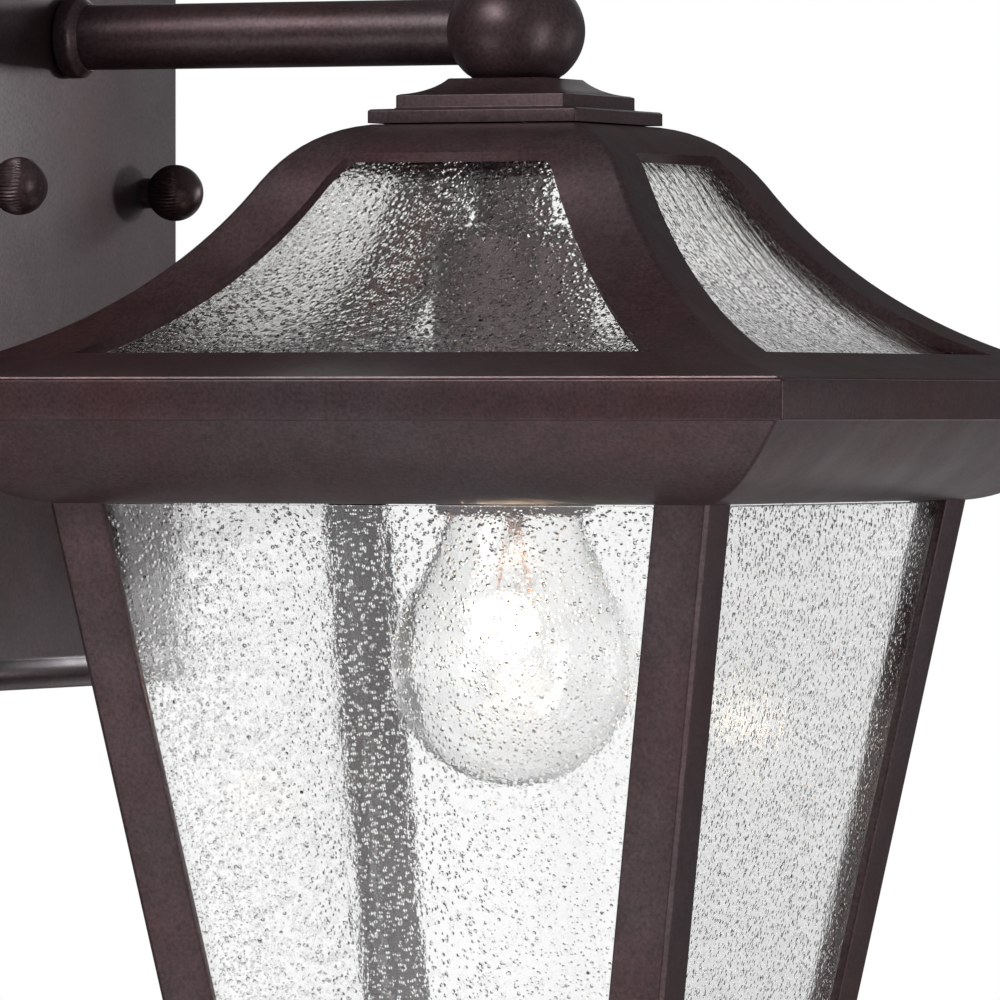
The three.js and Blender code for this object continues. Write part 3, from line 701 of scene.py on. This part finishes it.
roof_outline = (
    bezier((TOP_HALF, ROOF_TOP), (40.6, 12.5), (46.2, 0.9), WAIST, steps=48)
    + bezier(WAIST, (66.8, -30.0), (92.3, -42.3), (RIM_HALF, RIM_HEIGHT), steps=80)[1:]
)


def on_roof(half, depth=0.0):
    """(half width, height) under the roof's outer surface, found from its half width."""
    for (x0, z0), (x1, z1) in zip(roof_outline, roof_outline[1:]):
        if half <= x1:
            break
    share = (half - x0) / (x1 - x0)
    run, fall = x1 - x0, z1 - z0
    length = math.hypot(run, fall)
    return half + depth * fall / length, z0 + share * fall - depth * run / length


def window_inset(half):
    (first, last), (top, bottom) = WINDOW_HALVES, WINDOW_INSETS
    return top + (bottom - top) * (half - first) / (last - first)


def between(low, high, steps):
    return [low + (high - low) * i / steps for i in range(steps + 1)]


def roof_frame():
    """Sheet with four window openings, thickened inwards afterwards."""
    first, last = WINDOW_HALVES
    above = [27.0, 29.5, 32.0, 34.5, 37.0, 39.2]
    halves = above + between(first, last, WINDOW_ROWS) + between(last + 3, RIM_HALF, 8)
    rings = [
        square_ring(6, ROOF_TOP, 0.1, stations=(-2, 0, 2)),
        square_ring(TOP_HALF, ROOF_TOP, 1.2, stations=(-9, 0, 9)),
    ]
    open_rows = range(len(rings) + len(above), len(rings) + len(above) + WINDOW_ROWS)
    for half in halves:
        place = on_roof(half)
        window = max(half - window_inset(half), 9)
        rings.append(square_ring(place[0], place[1], 1.5, stations=(-window, 0, window)))
    verts, faces = skin(rings)
    size, quarter = len(rings[0]), len(rings[0]) // 4
    kept = []
    for face in faces:
        row, place = face[0] // size, face[0] % quarter
        if not (row in open_rows and place in (1, 2)):
            kept.append(face)
    return turned_about_axis((verts, kept), 0)


roof = bronze_piece("roof_shell", roof_frame(), ["roof_frame"], sharp=50)
thicken = roof.modifiers.new("sheet", "SOLIDIFY")
thicken.thickness = ROOF_SHEET * MM
thicken.offset = 1
thicken.use_even_offset = True
round_edges(roof, 0.45, 60)


# ---------------------------------------------------------------- panes

def slab(place, across, down):
    """Closed pane. place(u, v, face) gives a point; face is 0 outside and 1 inside."""
    width = across + 1
    count = width * (down + 1)
    verts, faces = [], []
    for face in (0, 1):
        first = len(verts)
        verts += [place(i / across, j / down, face) for j in range(down + 1) for i in range(width)]
        for j in range(down):
            for i in range(across):
                here = first + j * width + i
                faces.append((here, here + 1, here + width + 1, here + width))
    border = [*range(width), *(j * width + across for j in range(1, down + 1))]
    border += [down * width + i for i in range(across - 1, -1, -1)]
    border += [j * width for j in range(down - 1, 0, -1)]
    for a, b in zip(border, border[1:] + border[:1]):
        faces.append((a, b, b + count, a + count))
    return verts, faces


ROOF_PANE = {"depth": 3.3, "thickness": 2.4, "overlap": 4.0, "edge": 4.6}
RIPPLE = 0.04


def ripple(x, y, z, seed):
    """Gentle unevenness of drawn glass, in millimetres."""
    return RIPPLE * noise.noise(Vector((x / 9, y / 9, z / 40 + seed)))


def roof_pane(seed):
    first, last = WINDOW_HALVES
    top, bottom = first - ROOF_PANE["overlap"], last + ROOF_PANE["overlap"]

    def place(u, v, face):
        half = top + (bottom - top) * v
        depth = ROOF_PANE["depth"] + face * ROOF_PANE["thickness"]
        half_width = half - window_inset(half) + ROOF_PANE["edge"]
        across = half_width * (2 * u - 1)
        x, z = on_roof(half, depth + ripple(half, across, face * 7, seed) * (1 if 0 < u < 1 else 0))
        return (x, across, z)
    return slab(place, 40, 44)


BODY_TOP, BODY_BOTTOM = cad("body_glass_left")[1].z, cad("body_glass_left")[0].z
POST_TOP = cad("post_front_left")[1].z
BODY_TOP_HALF = cad("post_front_left")[1].x - AXIS
TAPER = 0.168
POST_SHEET = 2.4
PANE_THICKNESS = 3.0
TOP_REACH = 0.28                             # panes and posts run up to the eave
CLEAR = 0.3


def body_half(height):
    return BODY_TOP_HALF - TAPER * (POST_TOP - height)


def body_pane(seed):
    def place(u, v, face):
        height = BODY_TOP + TOP_REACH + (BODY_BOTTOM - BODY_TOP - TOP_REACH) * v
        inner = body_half(height) - POST_SHEET - CLEAR - PANE_THICKNESS
        half_width = inner - 0.6
        across = half_width * (2 * u - 1)
        sink = ripple(face * 11, across, height, seed) if 0 < u < 1 and 0 < v < 1 else 0
        x = body_half(height) - POST_SHEET - CLEAR - face * PANE_THICKNESS - abs(sink) * (1 - 2 * face)
        return (x, across, height)
    return slab(place, 44, 50)


for seed, (side, turn) in enumerate(SIDES.items()):
    roof_glass = STREAKED_SHADED_ROOF_GLASS if side == "front" else PLAIN_ROOF_GLASS
    add_piece(f"roof_pane_{side}", turned_about_axis(roof_pane(seed + 0.5), turn), roof_glass,
              "seeded_glass", stands_for=[f"roof_glass_{side}"], sharp=50)
    add_piece(f"body_pane_{side}", turned_about_axis(body_pane(seed * 3 + 10.5), turn), BODY_GLASS,
              "seeded_glass", stands_for=[f"body_glass_{side}"], sharp=50)


# ---------------------------------------------------------------- eave

def eave():
    """Flat band over a cove, hollow from above."""
    low, high = cad("eave_frame")
    half, top, bottom = span("eave_frame", X) / 2, high.z, low.z
    band_bottom = top - 9.4
    cove = bezier((half - 3.0, band_bottom - 0.5), (half - 12, band_bottom - 10.4),
                  (half - 20, bottom + 1), (BODY_TOP_HALF, bottom), steps=20)
    ledge, opening, wall = half - 12.3, half - 44.3, 3.0
    inner = [(x - 0.75 * wall, z + 0.9 * wall) for x, z in reversed(cove[1:-1])]
    band = [(ledge, top), (half, top), (half, band_bottom), (half - 2.6, band_bottom), cove[0]]
    outline = filleted(band, 0.5, steps=3) + cove[1:] + [
        (opening, bottom), (opening, bottom + wall), *inner, (half - 4.5, top - wall), (ledge, top - wall),
    ]
    return squared(outline, corner=0.9)


bronze_piece("eave_band", eave(), ["eave_frame"], sharp=40)


# ---------------------------------------------------------------- posts

POST_FLANGE = 13.7
POST_BEVEL = 1.1


def post():
    inner = -POST_SHEET
    outline = filleted([
        (0, -POST_FLANGE), (0, -POST_BEVEL), (-POST_BEVEL, 0), (-POST_FLANGE, 0),
        (-POST_FLANGE, inner), (inner, inner), (inner, -POST_FLANGE),
    ], 0.45, closed=True, steps=3)
    low = cad("post_front_left")[0].z
    rings = []
    for height in between(low, POST_TOP + TOP_REACH, 12):
        half = body_half(height)
        rings.append([(half + x, half + y, height) for x, y in outline])
    return skin(rings, capped=True)


for corner, turn in CORNERS.items():
    bronze_piece(f"corner_post_{corner}", turned_about_axis(post(), turn), [f"post_{corner}"], sharp=40)


# ---------------------------------------------------------------- clips

CLIP_INNER = 39                              # the body clips' inner end, from the axis


def bent_strip(outline, width):
    """Bent spring steel: an outline in (x, z) run along Y, with its bends rounded."""
    return run_along_y(filleted(outline, 0.5, closed=True, steps=2), -width / 2, width / 2)


def body_clip():
    behind = POST_SHEET + PANE_THICKNESS + 2 * CLEAR
    foot, tip, sheet = BODY_BOTTOM, BODY_BOTTOM + 13, 1.0
    low, high = body_half(foot) - behind, body_half(tip) - behind
    return bent_strip([
        (CLIP_INNER, foot), (low, foot), (high, tip),
        (high - sheet, tip), (low - sheet, foot + sheet), (CLIP_INNER, foot + sheet),
    ], 12)


def roof_clip():
    depth = ROOF_SHEET + ROOF_PANE["thickness"] + 2 * CLEAR
    top = cad("eave_frame")[1].z
    leg, foot = 101.7, top - 8
    return bent_strip([
        on_roof(90, depth), on_roof(98, depth), (leg, top - 0.5), (leg, foot),
        (leg - 1, foot), (leg - 1, top - 2.2), on_roof(98, depth + 1), on_roof(90, depth + 1),
    ], 10)


for side, turn in SIDES.items():
    for name, node, clip in (
        ("pane_clip", "body_glass_clip", body_clip()),
        ("roof_pane_clip", "roof_glass_clip", roof_clip()),
    ):
        bronze_piece(f"{name}_{side}", turned_about_axis(clip, turn), [f"{node}_{side}"], bevel=0.15)


# ---------------------------------------------------------------- lampholder

NIPPLE_BORE = 5.2                            # hole that the threaded nipple passes


def socket_cup():
    """Spun cup with a round shoulder and a rolled mouth."""
    (low, high), radius = cad("socket_cup"), span("socket_cup", X) / 2
    top, bottom, wall = high.z, low.z, 1.2
    shoulder = arc((radius - 4, top - 4), 4, 90, 0, 8)
    inner = arc((radius - 4, top - 4), 4 - wall, 0, 90, 6)
    return revolved([
        (NIPPLE_BORE, top), *shoulder, (radius, bottom + 3), (radius - 0.5, bottom + 1.2),
        (radius - 1.4, bottom), (radius - 1.4 - wall, bottom + 0.3), (radius - wall, bottom + 3.4),
        *inner, (NIPPLE_BORE, top - wall),
    ], "z", (AXIS, 0, 0), 96)


def socket_stem():
    (low, high), radius = cad("socket_stem"), span("socket_stem", X) / 2
    return revolved([
        (NIPPLE_BORE, low.z), (radius - 0.4, low.z), (radius, low.z + 0.4),
        (radius, high.z - 0.4), (radius - 0.4, high.z), (NIPPLE_BORE, high.z),
    ], "z", (AXIS, 0, 0), 72)


bronze_piece("lamp_cup", socket_cup(), ["socket_cup"])
bronze_piece("lamp_stem", socket_stem(), ["socket_stem"])


# ---------------------------------------------------------------- bulb

BULB_AT = (AXIS, 0, 0)
BULB_RADIUS = 29.8
BULB_WALL = 0.7


def envelope_line(inset):
    """(radius, height) from the neck down to the tip."""
    low, high = cad("bulb_envelope")
    shoulder, centre = high.z, low.z + BULB_RADIUS
    meet = 34
    globe = arc((0, centre), BULB_RADIUS - inset, meet, -90, 44)
    start, pull = globe[0], 14
    lean = (start[0] - pull * math.sin(math.radians(meet)), start[1] + pull * math.cos(math.radians(meet)))
    neck = 13.4 - inset
    line = bezier((neck, shoulder - inset), (neck + 0.2, shoulder - 10), lean, start, steps=20) + globe[1:]
    return line[:-1] + [(0, line[-1][1])]


def envelope():
    """Blown glass, thin and hollow, open where the mount goes in."""
    shoulder = cad("bulb_envelope")[1].z
    hole = 7
    rim = [(hole, shoulder - BULB_WALL), (hole, shoulder)]
    return revolved([*reversed(envelope_line(BULB_WALL)), *rim, *envelope_line(0)], "z", BULB_AT, 96)


def screw_base():
    """Rolled brass thread with its black glass end left to the contact."""
    (low, high), radius = cad("bulb_base"), span("bulb_base", X) / 2
    pitch, depth = 3.6, 0.9
    top = high.z
    crown = [
        (0, top), (3.2, top), (4.4, top - 0.7), (4.8, top - 1.4), (9.5, top - 3.8),
        (radius - 1.0, top - 4.6),
    ]
    length = top - 5.2 - low.z
    rows = 60
    thread = [(radius, top - 5.2 - length * i / rows) for i in range(rows + 1)]
    inner = [(radius - 1.3, low.z), (radius - 1.3, top - 6.5), (0, top - 6.5)]

    def rolled(r, angle, distance):
        if r < radius - 0.01 or distance < low.z + 3.5:
            return r
        return radius - depth * (0.5 - 0.5 * math.cos(TURN * distance / pitch + angle))
    return revolved(crown + thread + inner, "z", BULB_AT, 72, rolled)


def mount_stem():
    """Glass stem that holds the lead wires."""
    low, high = cad("bulb_mount")
    top, tip = high.z, low.z
    side = filleted([
        (5.6, top), (5.6, top - 11), (3.4, top - 19), (2.5, top - 29), (2.3, tip + 3), (0.4, tip),
    ], 1.5, steps=5)
    return revolved([(0, top), *side, (0, tip)], "z", BULB_AT, 48)


def filament_path():
    """Arc of the coil between the two lead wires, as (x, y, z) about the bulb's axis."""
    height = cad("filament")[0].z + 2.2
    path = []
    for t in between(0, 1, 40):
        bow = math.sin(math.pi * t)
        path.append((AXIS - 2.8 * bow, 12 * (2 * t - 1), height - 1.4 * bow))
    return path


def coil():
    """Fine helix wound round the filament's arc."""
    path = [Vector(p) for p in filament_path()]
    turns, per_turn, radius, wire = 34, 10, 0.55, 0.16
    points = []
    for i in range(turns * per_turn + 1):
        share = i / (turns * per_turn)
        place = share * (len(path) - 1)
        k = min(int(place), len(path) - 2)
        here = path[k].lerp(path[k + 1], place - k)
        ahead = (path[k + 1] - path[k]).normalized()
        across = ahead.cross(Vector((0, 0, 1))).normalized()
        up = across.cross(ahead)
        angle = TURN * i / per_turn
        points.append(tuple(here + radius * (math.cos(angle) * across + math.sin(angle) * up)))
    return tube_along(points, wire, 6)


def lead_wires():
    """Two lead wires down to the coil's ends, and two fine supports to its middle."""
    tip = cad("bulb_mount")[0].z
    path = filament_path()
    middle = path[len(path) // 2]
    wires = []
    for end, sign in ((path[0], -1), (path[-1], 1)):
        wires.append(tube_along([
            (AXIS, sign * 3.4, tip + 6), (AXIS, sign * 4.4, tip), (AXIS, sign * 6.5, tip - 5),
            (AXIS, sign * 9.6, tip - 12), (AXIS, sign * 12.0, end[2] + 2), (AXIS, sign * 12.2, end[2]),
        ], 0.3, 8))
    for sign in (-1, 1):
        wires.append(tube_along([
            (AXIS, 0, tip + 1), (AXIS + 1.5, sign * 2, tip - 8), (AXIS + 3.8, sign * 4, middle[2] + 0.5),
        ], 0.12, 6))
    return merged(*wires)


def bulb_piece(name, shape, material, slot, stands_for=(), sharp=32):
    add_piece(name, shape, material, slot, body="bulb", stands_for=stands_for, sharp=sharp)


bulb_piece("bulb_glass", envelope(), BULB_GLASS, "bulb_glass", ["bulb_envelope"], sharp=60)
bulb_piece("bulb_screw_base", screw_base(), BRASS, "brass", ["bulb_base"])
bulb_piece("bulb_stem", mount_stem(), BULB_GLASS, "bulb_glass", ["bulb_mount"], sharp=60)
bulb_piece("filament_coil", coil(), GLOW, "tungsten", ["filament"], sharp=80)
bulb_piece("lead_wires", lead_wires(), COPPER, "brass", sharp=80)


# ---------------------------------------------------------------- base, bottom plate, finial

BASE_HEIGHT = 11.1                           # of the moulding, without its hinge knuckles


def base_frame():
    """Square moulding that the posts stand on."""
    half, top = span("base_frame", X) / 2, cad("base_frame")[1].z
    bottom = top - BASE_HEIGHT
    post_foot = body_half(top) + 0.6
    opening = half - 20
    outline = filleted([
        (opening, top), (post_foot, top), (half - 1.5, top - 2.6), (half, top - 3), (half, top - 7),
        (half - 1.2, top - 7.6), (half - 3.6, bottom), (opening, bottom),
    ], 0.5, closed=True, steps=3)
    return squared(outline, corner=0.9)


HINGE_X = AXIS - 51
HINGE_Z = mid("hinge_pin", Z)
KNUCKLE, PIN_HOLE = 2.8, 1.6


def knuckle(low, high):
    ends = 0.3
    return revolved([
        (PIN_HOLE, low), (KNUCKLE - ends, low), (KNUCKLE, low + ends),
        (KNUCKLE, high - ends), (KNUCKLE - ends, high), (PIN_HOLE, high),
    ], "y", (HINGE_X, 0, HINGE_Z), 40)


def leaf(x0, x1, y0, y1, z0, z1):
    return run_along_y([(x0, z0), (x1, z0), (x1, z1), (x0, z1)], y0, y1)


def fixed_knuckles():
    bottom = cad("base_frame")[1].z - BASE_HEIGHT
    shapes = []
    for sign in (-1, 1):
        y0, y1 = sorted((sign * 7.8, sign * 15.7))
        shapes += [knuckle(y0, y1), leaf(HINGE_X - KNUCKLE, HINGE_X + 1, y0, y1, HINGE_Z, bottom + 0.6)]
    return merged(*shapes)


def bottom_plate():
    """Dished square plate with a flat margin."""
    (low, high), half = cad("base_door"), span("base_door", Y) / 2
    top, floor, sheet, margin, dish = high.z, low.z, 2.5, 12, 13
    lip = top - sheet

    def sag(inset, lift):
        return bezier(
            (half - margin - inset, lip - 0.6 + lift), (dish + 16 - inset, lip - 1.1 + lift),
            (dish + 5 - inset, floor + 3.5 + lift), (dish - inset, floor + lift), steps=12)
    outline = [(0, floor + sheet), *reversed(sag(1.5, sheet)), (half - margin - 1, top)]
    edge = [(half - margin, top), (half, top), (half, lip), (half - margin + 1, lip)]
    outline += filleted(edge, 0.5, steps=3)
    outline += [*sag(0, 0), (0, floor)]
    plate = squared(outline, corner=0.9, closed=False)
    hinge = merged(knuckle(-7.5, 7.5), leaf(HINGE_X, AXIS - half + 1, -7.5, 7.5, HINGE_Z - 0.4, lip + 1.6))
    return merged(plate, hinge)


def thumbscrew():
    """Plain shaft over a ribbed round head."""
    low, high = cad("thumbscrew")
    head, radius, shaft = low.z + 5.0, span("thumbscrew", X) / 2, 1.9
    at = (mid("thumbscrew", X), 0, 0)
    ribs = 20

    def ribbed(r, angle, distance):
        grip = r > radius - 0.05 and distance < head - 0.6
        return r - (0.3 * (0.5 - 0.5 * math.cos(ribs * angle)) if grip else 0)
    profile = [
        (0, high.z), (shaft - 0.5, high.z), (shaft, high.z - 0.6), (shaft, head), (3.4, head),
        (radius, head - 0.6), *((radius, z) for z in between(head - 0.8, low.z + 1.0, 3)),
        (3.3, low.z + 0.2), (2.6, low.z), (0, low.z),
    ]
    return revolved(profile, "z", at, ribs * 6, ribbed)


def finial():
    """Ball on a neck and flange, with a stud up through the bottom plate."""
    (low, high), ball = cad("finial"), span("finial", X) / 2
    seat, centre, stud = cad("base_door")[0].z - CLEAR, low.z + 9.5, 2.0
    ball_line = arc((0, centre), ball, 52, -74, 30)
    return revolved([
        (0, high.z), (stud, high.z), (stud, seat), (7.2, seat), (7.8, seat - 0.5), (7.6, seat - 1.2),
        (5.4, seat - 2.0), (4.9, seat - 2.8), *ball_line, (1.6, low.z + 0.4), (0, low.z),
    ], "z", (AXIS, 0, 0), 96)


bronze_piece("base_moulding", base_frame(), ["base_frame"], sharp=40)
bronze_piece("base_knuckles", fixed_knuckles(), ["base_frame"], bevel=0.2)
bronze_piece("bottom_plate", bottom_plate(), ["base_door"], body="base_door", sharp=40)
bronze_piece("ribbed_thumbscrew", thumbscrew(), ["thumbscrew"], body="thumbscrew", sharp=50)
bronze_piece("ball_finial", finial(), ["finial"], body="base_door")


# ---------------------------------------------------------------- camera

CAMERA_TURN = math.radians(23.1)
CAMERA_DISTANCE = 2.559
CAMERA_HEIGHT = -0.0547
AIM_ASIDE, AIM_HEIGHT = -0.0038, -0.0753

right = Vector((math.cos(CAMERA_TURN), math.sin(CAMERA_TURN), 0))
axis_point = Vector((AXIS * MM, 0, 0))
camera = bpy.data.objects.new("camera", bpy.data.cameras.new("camera"))
camera.data.lens = 384.5
camera.data.sensor_width = 36
camera.data.clip_end = 50
camera.location = axis_point + CAMERA_DISTANCE * Vector((math.sin(CAMERA_TURN), -math.cos(CAMERA_TURN), 0))
camera.location.z = CAMERA_HEIGHT
aim = axis_point + right * AIM_ASIDE
aim.z = AIM_HEIGHT
camera.rotation_euler = (aim - camera.location).to_track_quat("-Z", "Y").to_euler()
bpy.context.scene.collection.objects.link(camera)
bpy.context.scene.camera = camera


# ---------------------------------------------------------------- lights

CENTRE = Vector((AXIS * MM, 0, -0.08))


def around(azimuth, elevation, distance=2.2):
    """Place seen from the lantern's middle; azimuth 0 is the -Y side and 90 the +X side."""
    a, e = math.radians(azimuth), math.radians(elevation)
    return CENTRE + distance * Vector((math.sin(a) * math.cos(e), -math.cos(a) * math.cos(e), math.sin(e)))


def hang(name, lamp, place):
    """Puts a lamp in the scene, out of the camera's sight."""
    holder = bpy.data.objects.new(name, lamp)
    holder.location = place
    holder.visible_camera = False
    bpy.context.scene.collection.objects.link(holder)
    return holder


def area_light(name, place, size, power, target=CENTRE, colour=(1, 1, 1)):
    lamp = bpy.data.lights.new(name, "AREA")
    lamp.shape = "RECTANGLE"
    lamp.size, lamp.size_y = size
    lamp.energy = power
    lamp.color = colour
    holder = hang(name, lamp, place)
    holder.rotation_euler = (Vector(target) - Vector(place)).to_track_quat("-Z", "Y").to_euler()
    return holder


def group(name, members, state):
    made = bpy.data.collections.new(name)
    for member in members:
        made.objects.link(bpy.data.objects[member])
    for member in made.collection_objects:
        member.light_linking.link_state = state
    return made


def lights_only(holder, *pieces):
    holder.light_linking.receiver_collection = group(f"{holder.name}_lit", pieces, "INCLUDE")


def leaves_out(holder, *pieces):
    holder.light_linking.receiver_collection = group(f"{holder.name}_leaves", pieces, "EXCLUDE")


# The lantern, but not the plate: broad front lights, and two for the +X side.
for name, place, size, power in (
    ("front_high", around(-25, 42), (0.9, 0.9), 11.5),
    ("front_spot", around(-12, 33), (0.45, 0.45), 8.0),
    ("front_low", around(-25, -22), (0.9, 0.9), 3.9),
    ("edge", around(68, -12), (0.4, 2.0), 12),
    ("side", around(125, -8), (0.6, 0.9), 2.5),
):
    leaves_out(area_light(name, place, size, power), "backplate_pan")

area_light("under", around(-30, -68, 0.9), (0.6, 0.6), 0.75)
area_light("behind_low", around(185, -25), (0.9, 0.6), 0.8)
leaves_out(area_light("behind", around(187, 19), (0.9, 0.6), 0.9), "roof_shell")
lights_only(area_light("lip", around(176, 19), (1.0, 0.5), 10.5, colour=(0.94, 0.96, 1.0)), "backplate_pan")
lights_only(area_light("window_edges", around(-15, -30), (0.9, 0.9), 60), "roof_shell")

# A narrow light on the plate, in which only the wall bracket's own pieces throw shadows.
bracket = ["knurled_ball_left", "knurled_ball_right", "stud_rod_left", "stud_rod_right", "arm", "arm_bead"]
bracket_light = area_light("bracket", (1.57, 1.57, 0.12), (0.25, 0.25), 0.045,
                           target=(0.02, 0, 0.11), colour=(0.92, 1.0, 1.0))
bracket_light.data.spread = math.radians(10)
bracket_light.light_linking.blocker_collection = group("bracket_shadows", bracket, "INCLUDE")
lights_only(bracket_light, "backplate_pan", *bracket)


def lamp_light(name, power, radius, seen):
    """Warm light of the lit bulb; the bulb's own glass doesn't hold it back."""
    lamp = bpy.data.lights.new(name, "POINT")
    lamp.energy = power
    lamp.color = (1.0, 0.80, 0.58)
    lamp.shadow_soft_size = radius * MM
    holder = hang(name, lamp, ((AXIS - 1.5) * MM, 0, (cad("filament")[0].z + 1.5) * MM))
    holder.visible_transmission = holder.visible_glossy = seen
    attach(holder, "bulb")
    bulb = ["bulb_glass", "bulb_stem", "filament_coil", "lead_wires"]
    holder.light_linking.blocker_collection = group(f"{name}_passes", bulb, "EXCLUDE")
    leaves_out(holder, "eave_band", "backplate_pan")


lamp_light("lamp_glow", 0.004, 5.6, True)
lamp_light("lamp_warmth", 0.5, 2.0, False)


# ---------------------------------------------------------------- floor and backdrop

def floor_material():
    r = Recipe("pale_floor")
    tone = r.ramp(r.noise(3, 3, 0.5), (0.3, 0.80), (0.7, 0.84))
    return r.set(base_color=tone, roughness=0.7).material


def floor():
    """Pale floor well below the lantern."""
    reach, low = 6.0, -1.2
    corners = [(-reach, -reach, low), (reach, -reach, low), (reach, reach, low), (-reach, reach, low)]
    mesh = bpy.data.meshes.new("floor")
    mesh.from_pydata(corners, [], [(0, 1, 2, 3)])
    mesh.materials.append(floor_material())
    plane = bpy.data.objects.new("floor", mesh)
    bpy.context.scene.collection.objects.link(plane)


def backdrop(dim, bright):
    """White to the camera and through glass; for other rays dim, and brighter on the +X side."""
    world = bpy.data.worlds.new("studio")
    bpy.context.scene.world = world
    world.use_nodes = True
    tree = world.node_tree
    link = tree.links.new
    side = tree.nodes.new("ShaderNodeVectorMath")
    side.operation = "DOT_PRODUCT"
    link(tree.nodes.new("ShaderNodeTexCoord").outputs["Generated"], side.inputs[0])
    side.inputs[1].default_value = (1, 0.1, 0)
    glow = tree.nodes.new("ShaderNodeMapRange")
    glow.interpolation_type = "SMOOTHSTEP"
    link(side.outputs["Value"], glow.inputs["Value"])
    for name, value in (("From Min", 0.1), ("From Max", 0.9), ("To Min", dim), ("To Max", bright)):
        glow.inputs[name].default_value = value
    rays = tree.nodes.new("ShaderNodeLightPath")
    through, strength = (tree.nodes.new("ShaderNodeMath") for _ in range(2))
    through.operation = strength.operation = "MAXIMUM"
    link(rays.outputs["Is Camera Ray"], through.inputs[0])
    link(rays.outputs["Is Transmission Ray"], through.inputs[1])
    link(glow.outputs["Result"], strength.inputs[0])
    link(through.outputs[0], strength.inputs[1])
    shown = tree.nodes["Background"]
    link(strength.outputs[0], shown.inputs["Strength"])
    shown.inputs["Color"].default_value = (1, 1, 1, 1)


floor()
backdrop(dim=0.09, bright=0.20)
bpy.context.scene.view_settings.view_transform = "Standard"
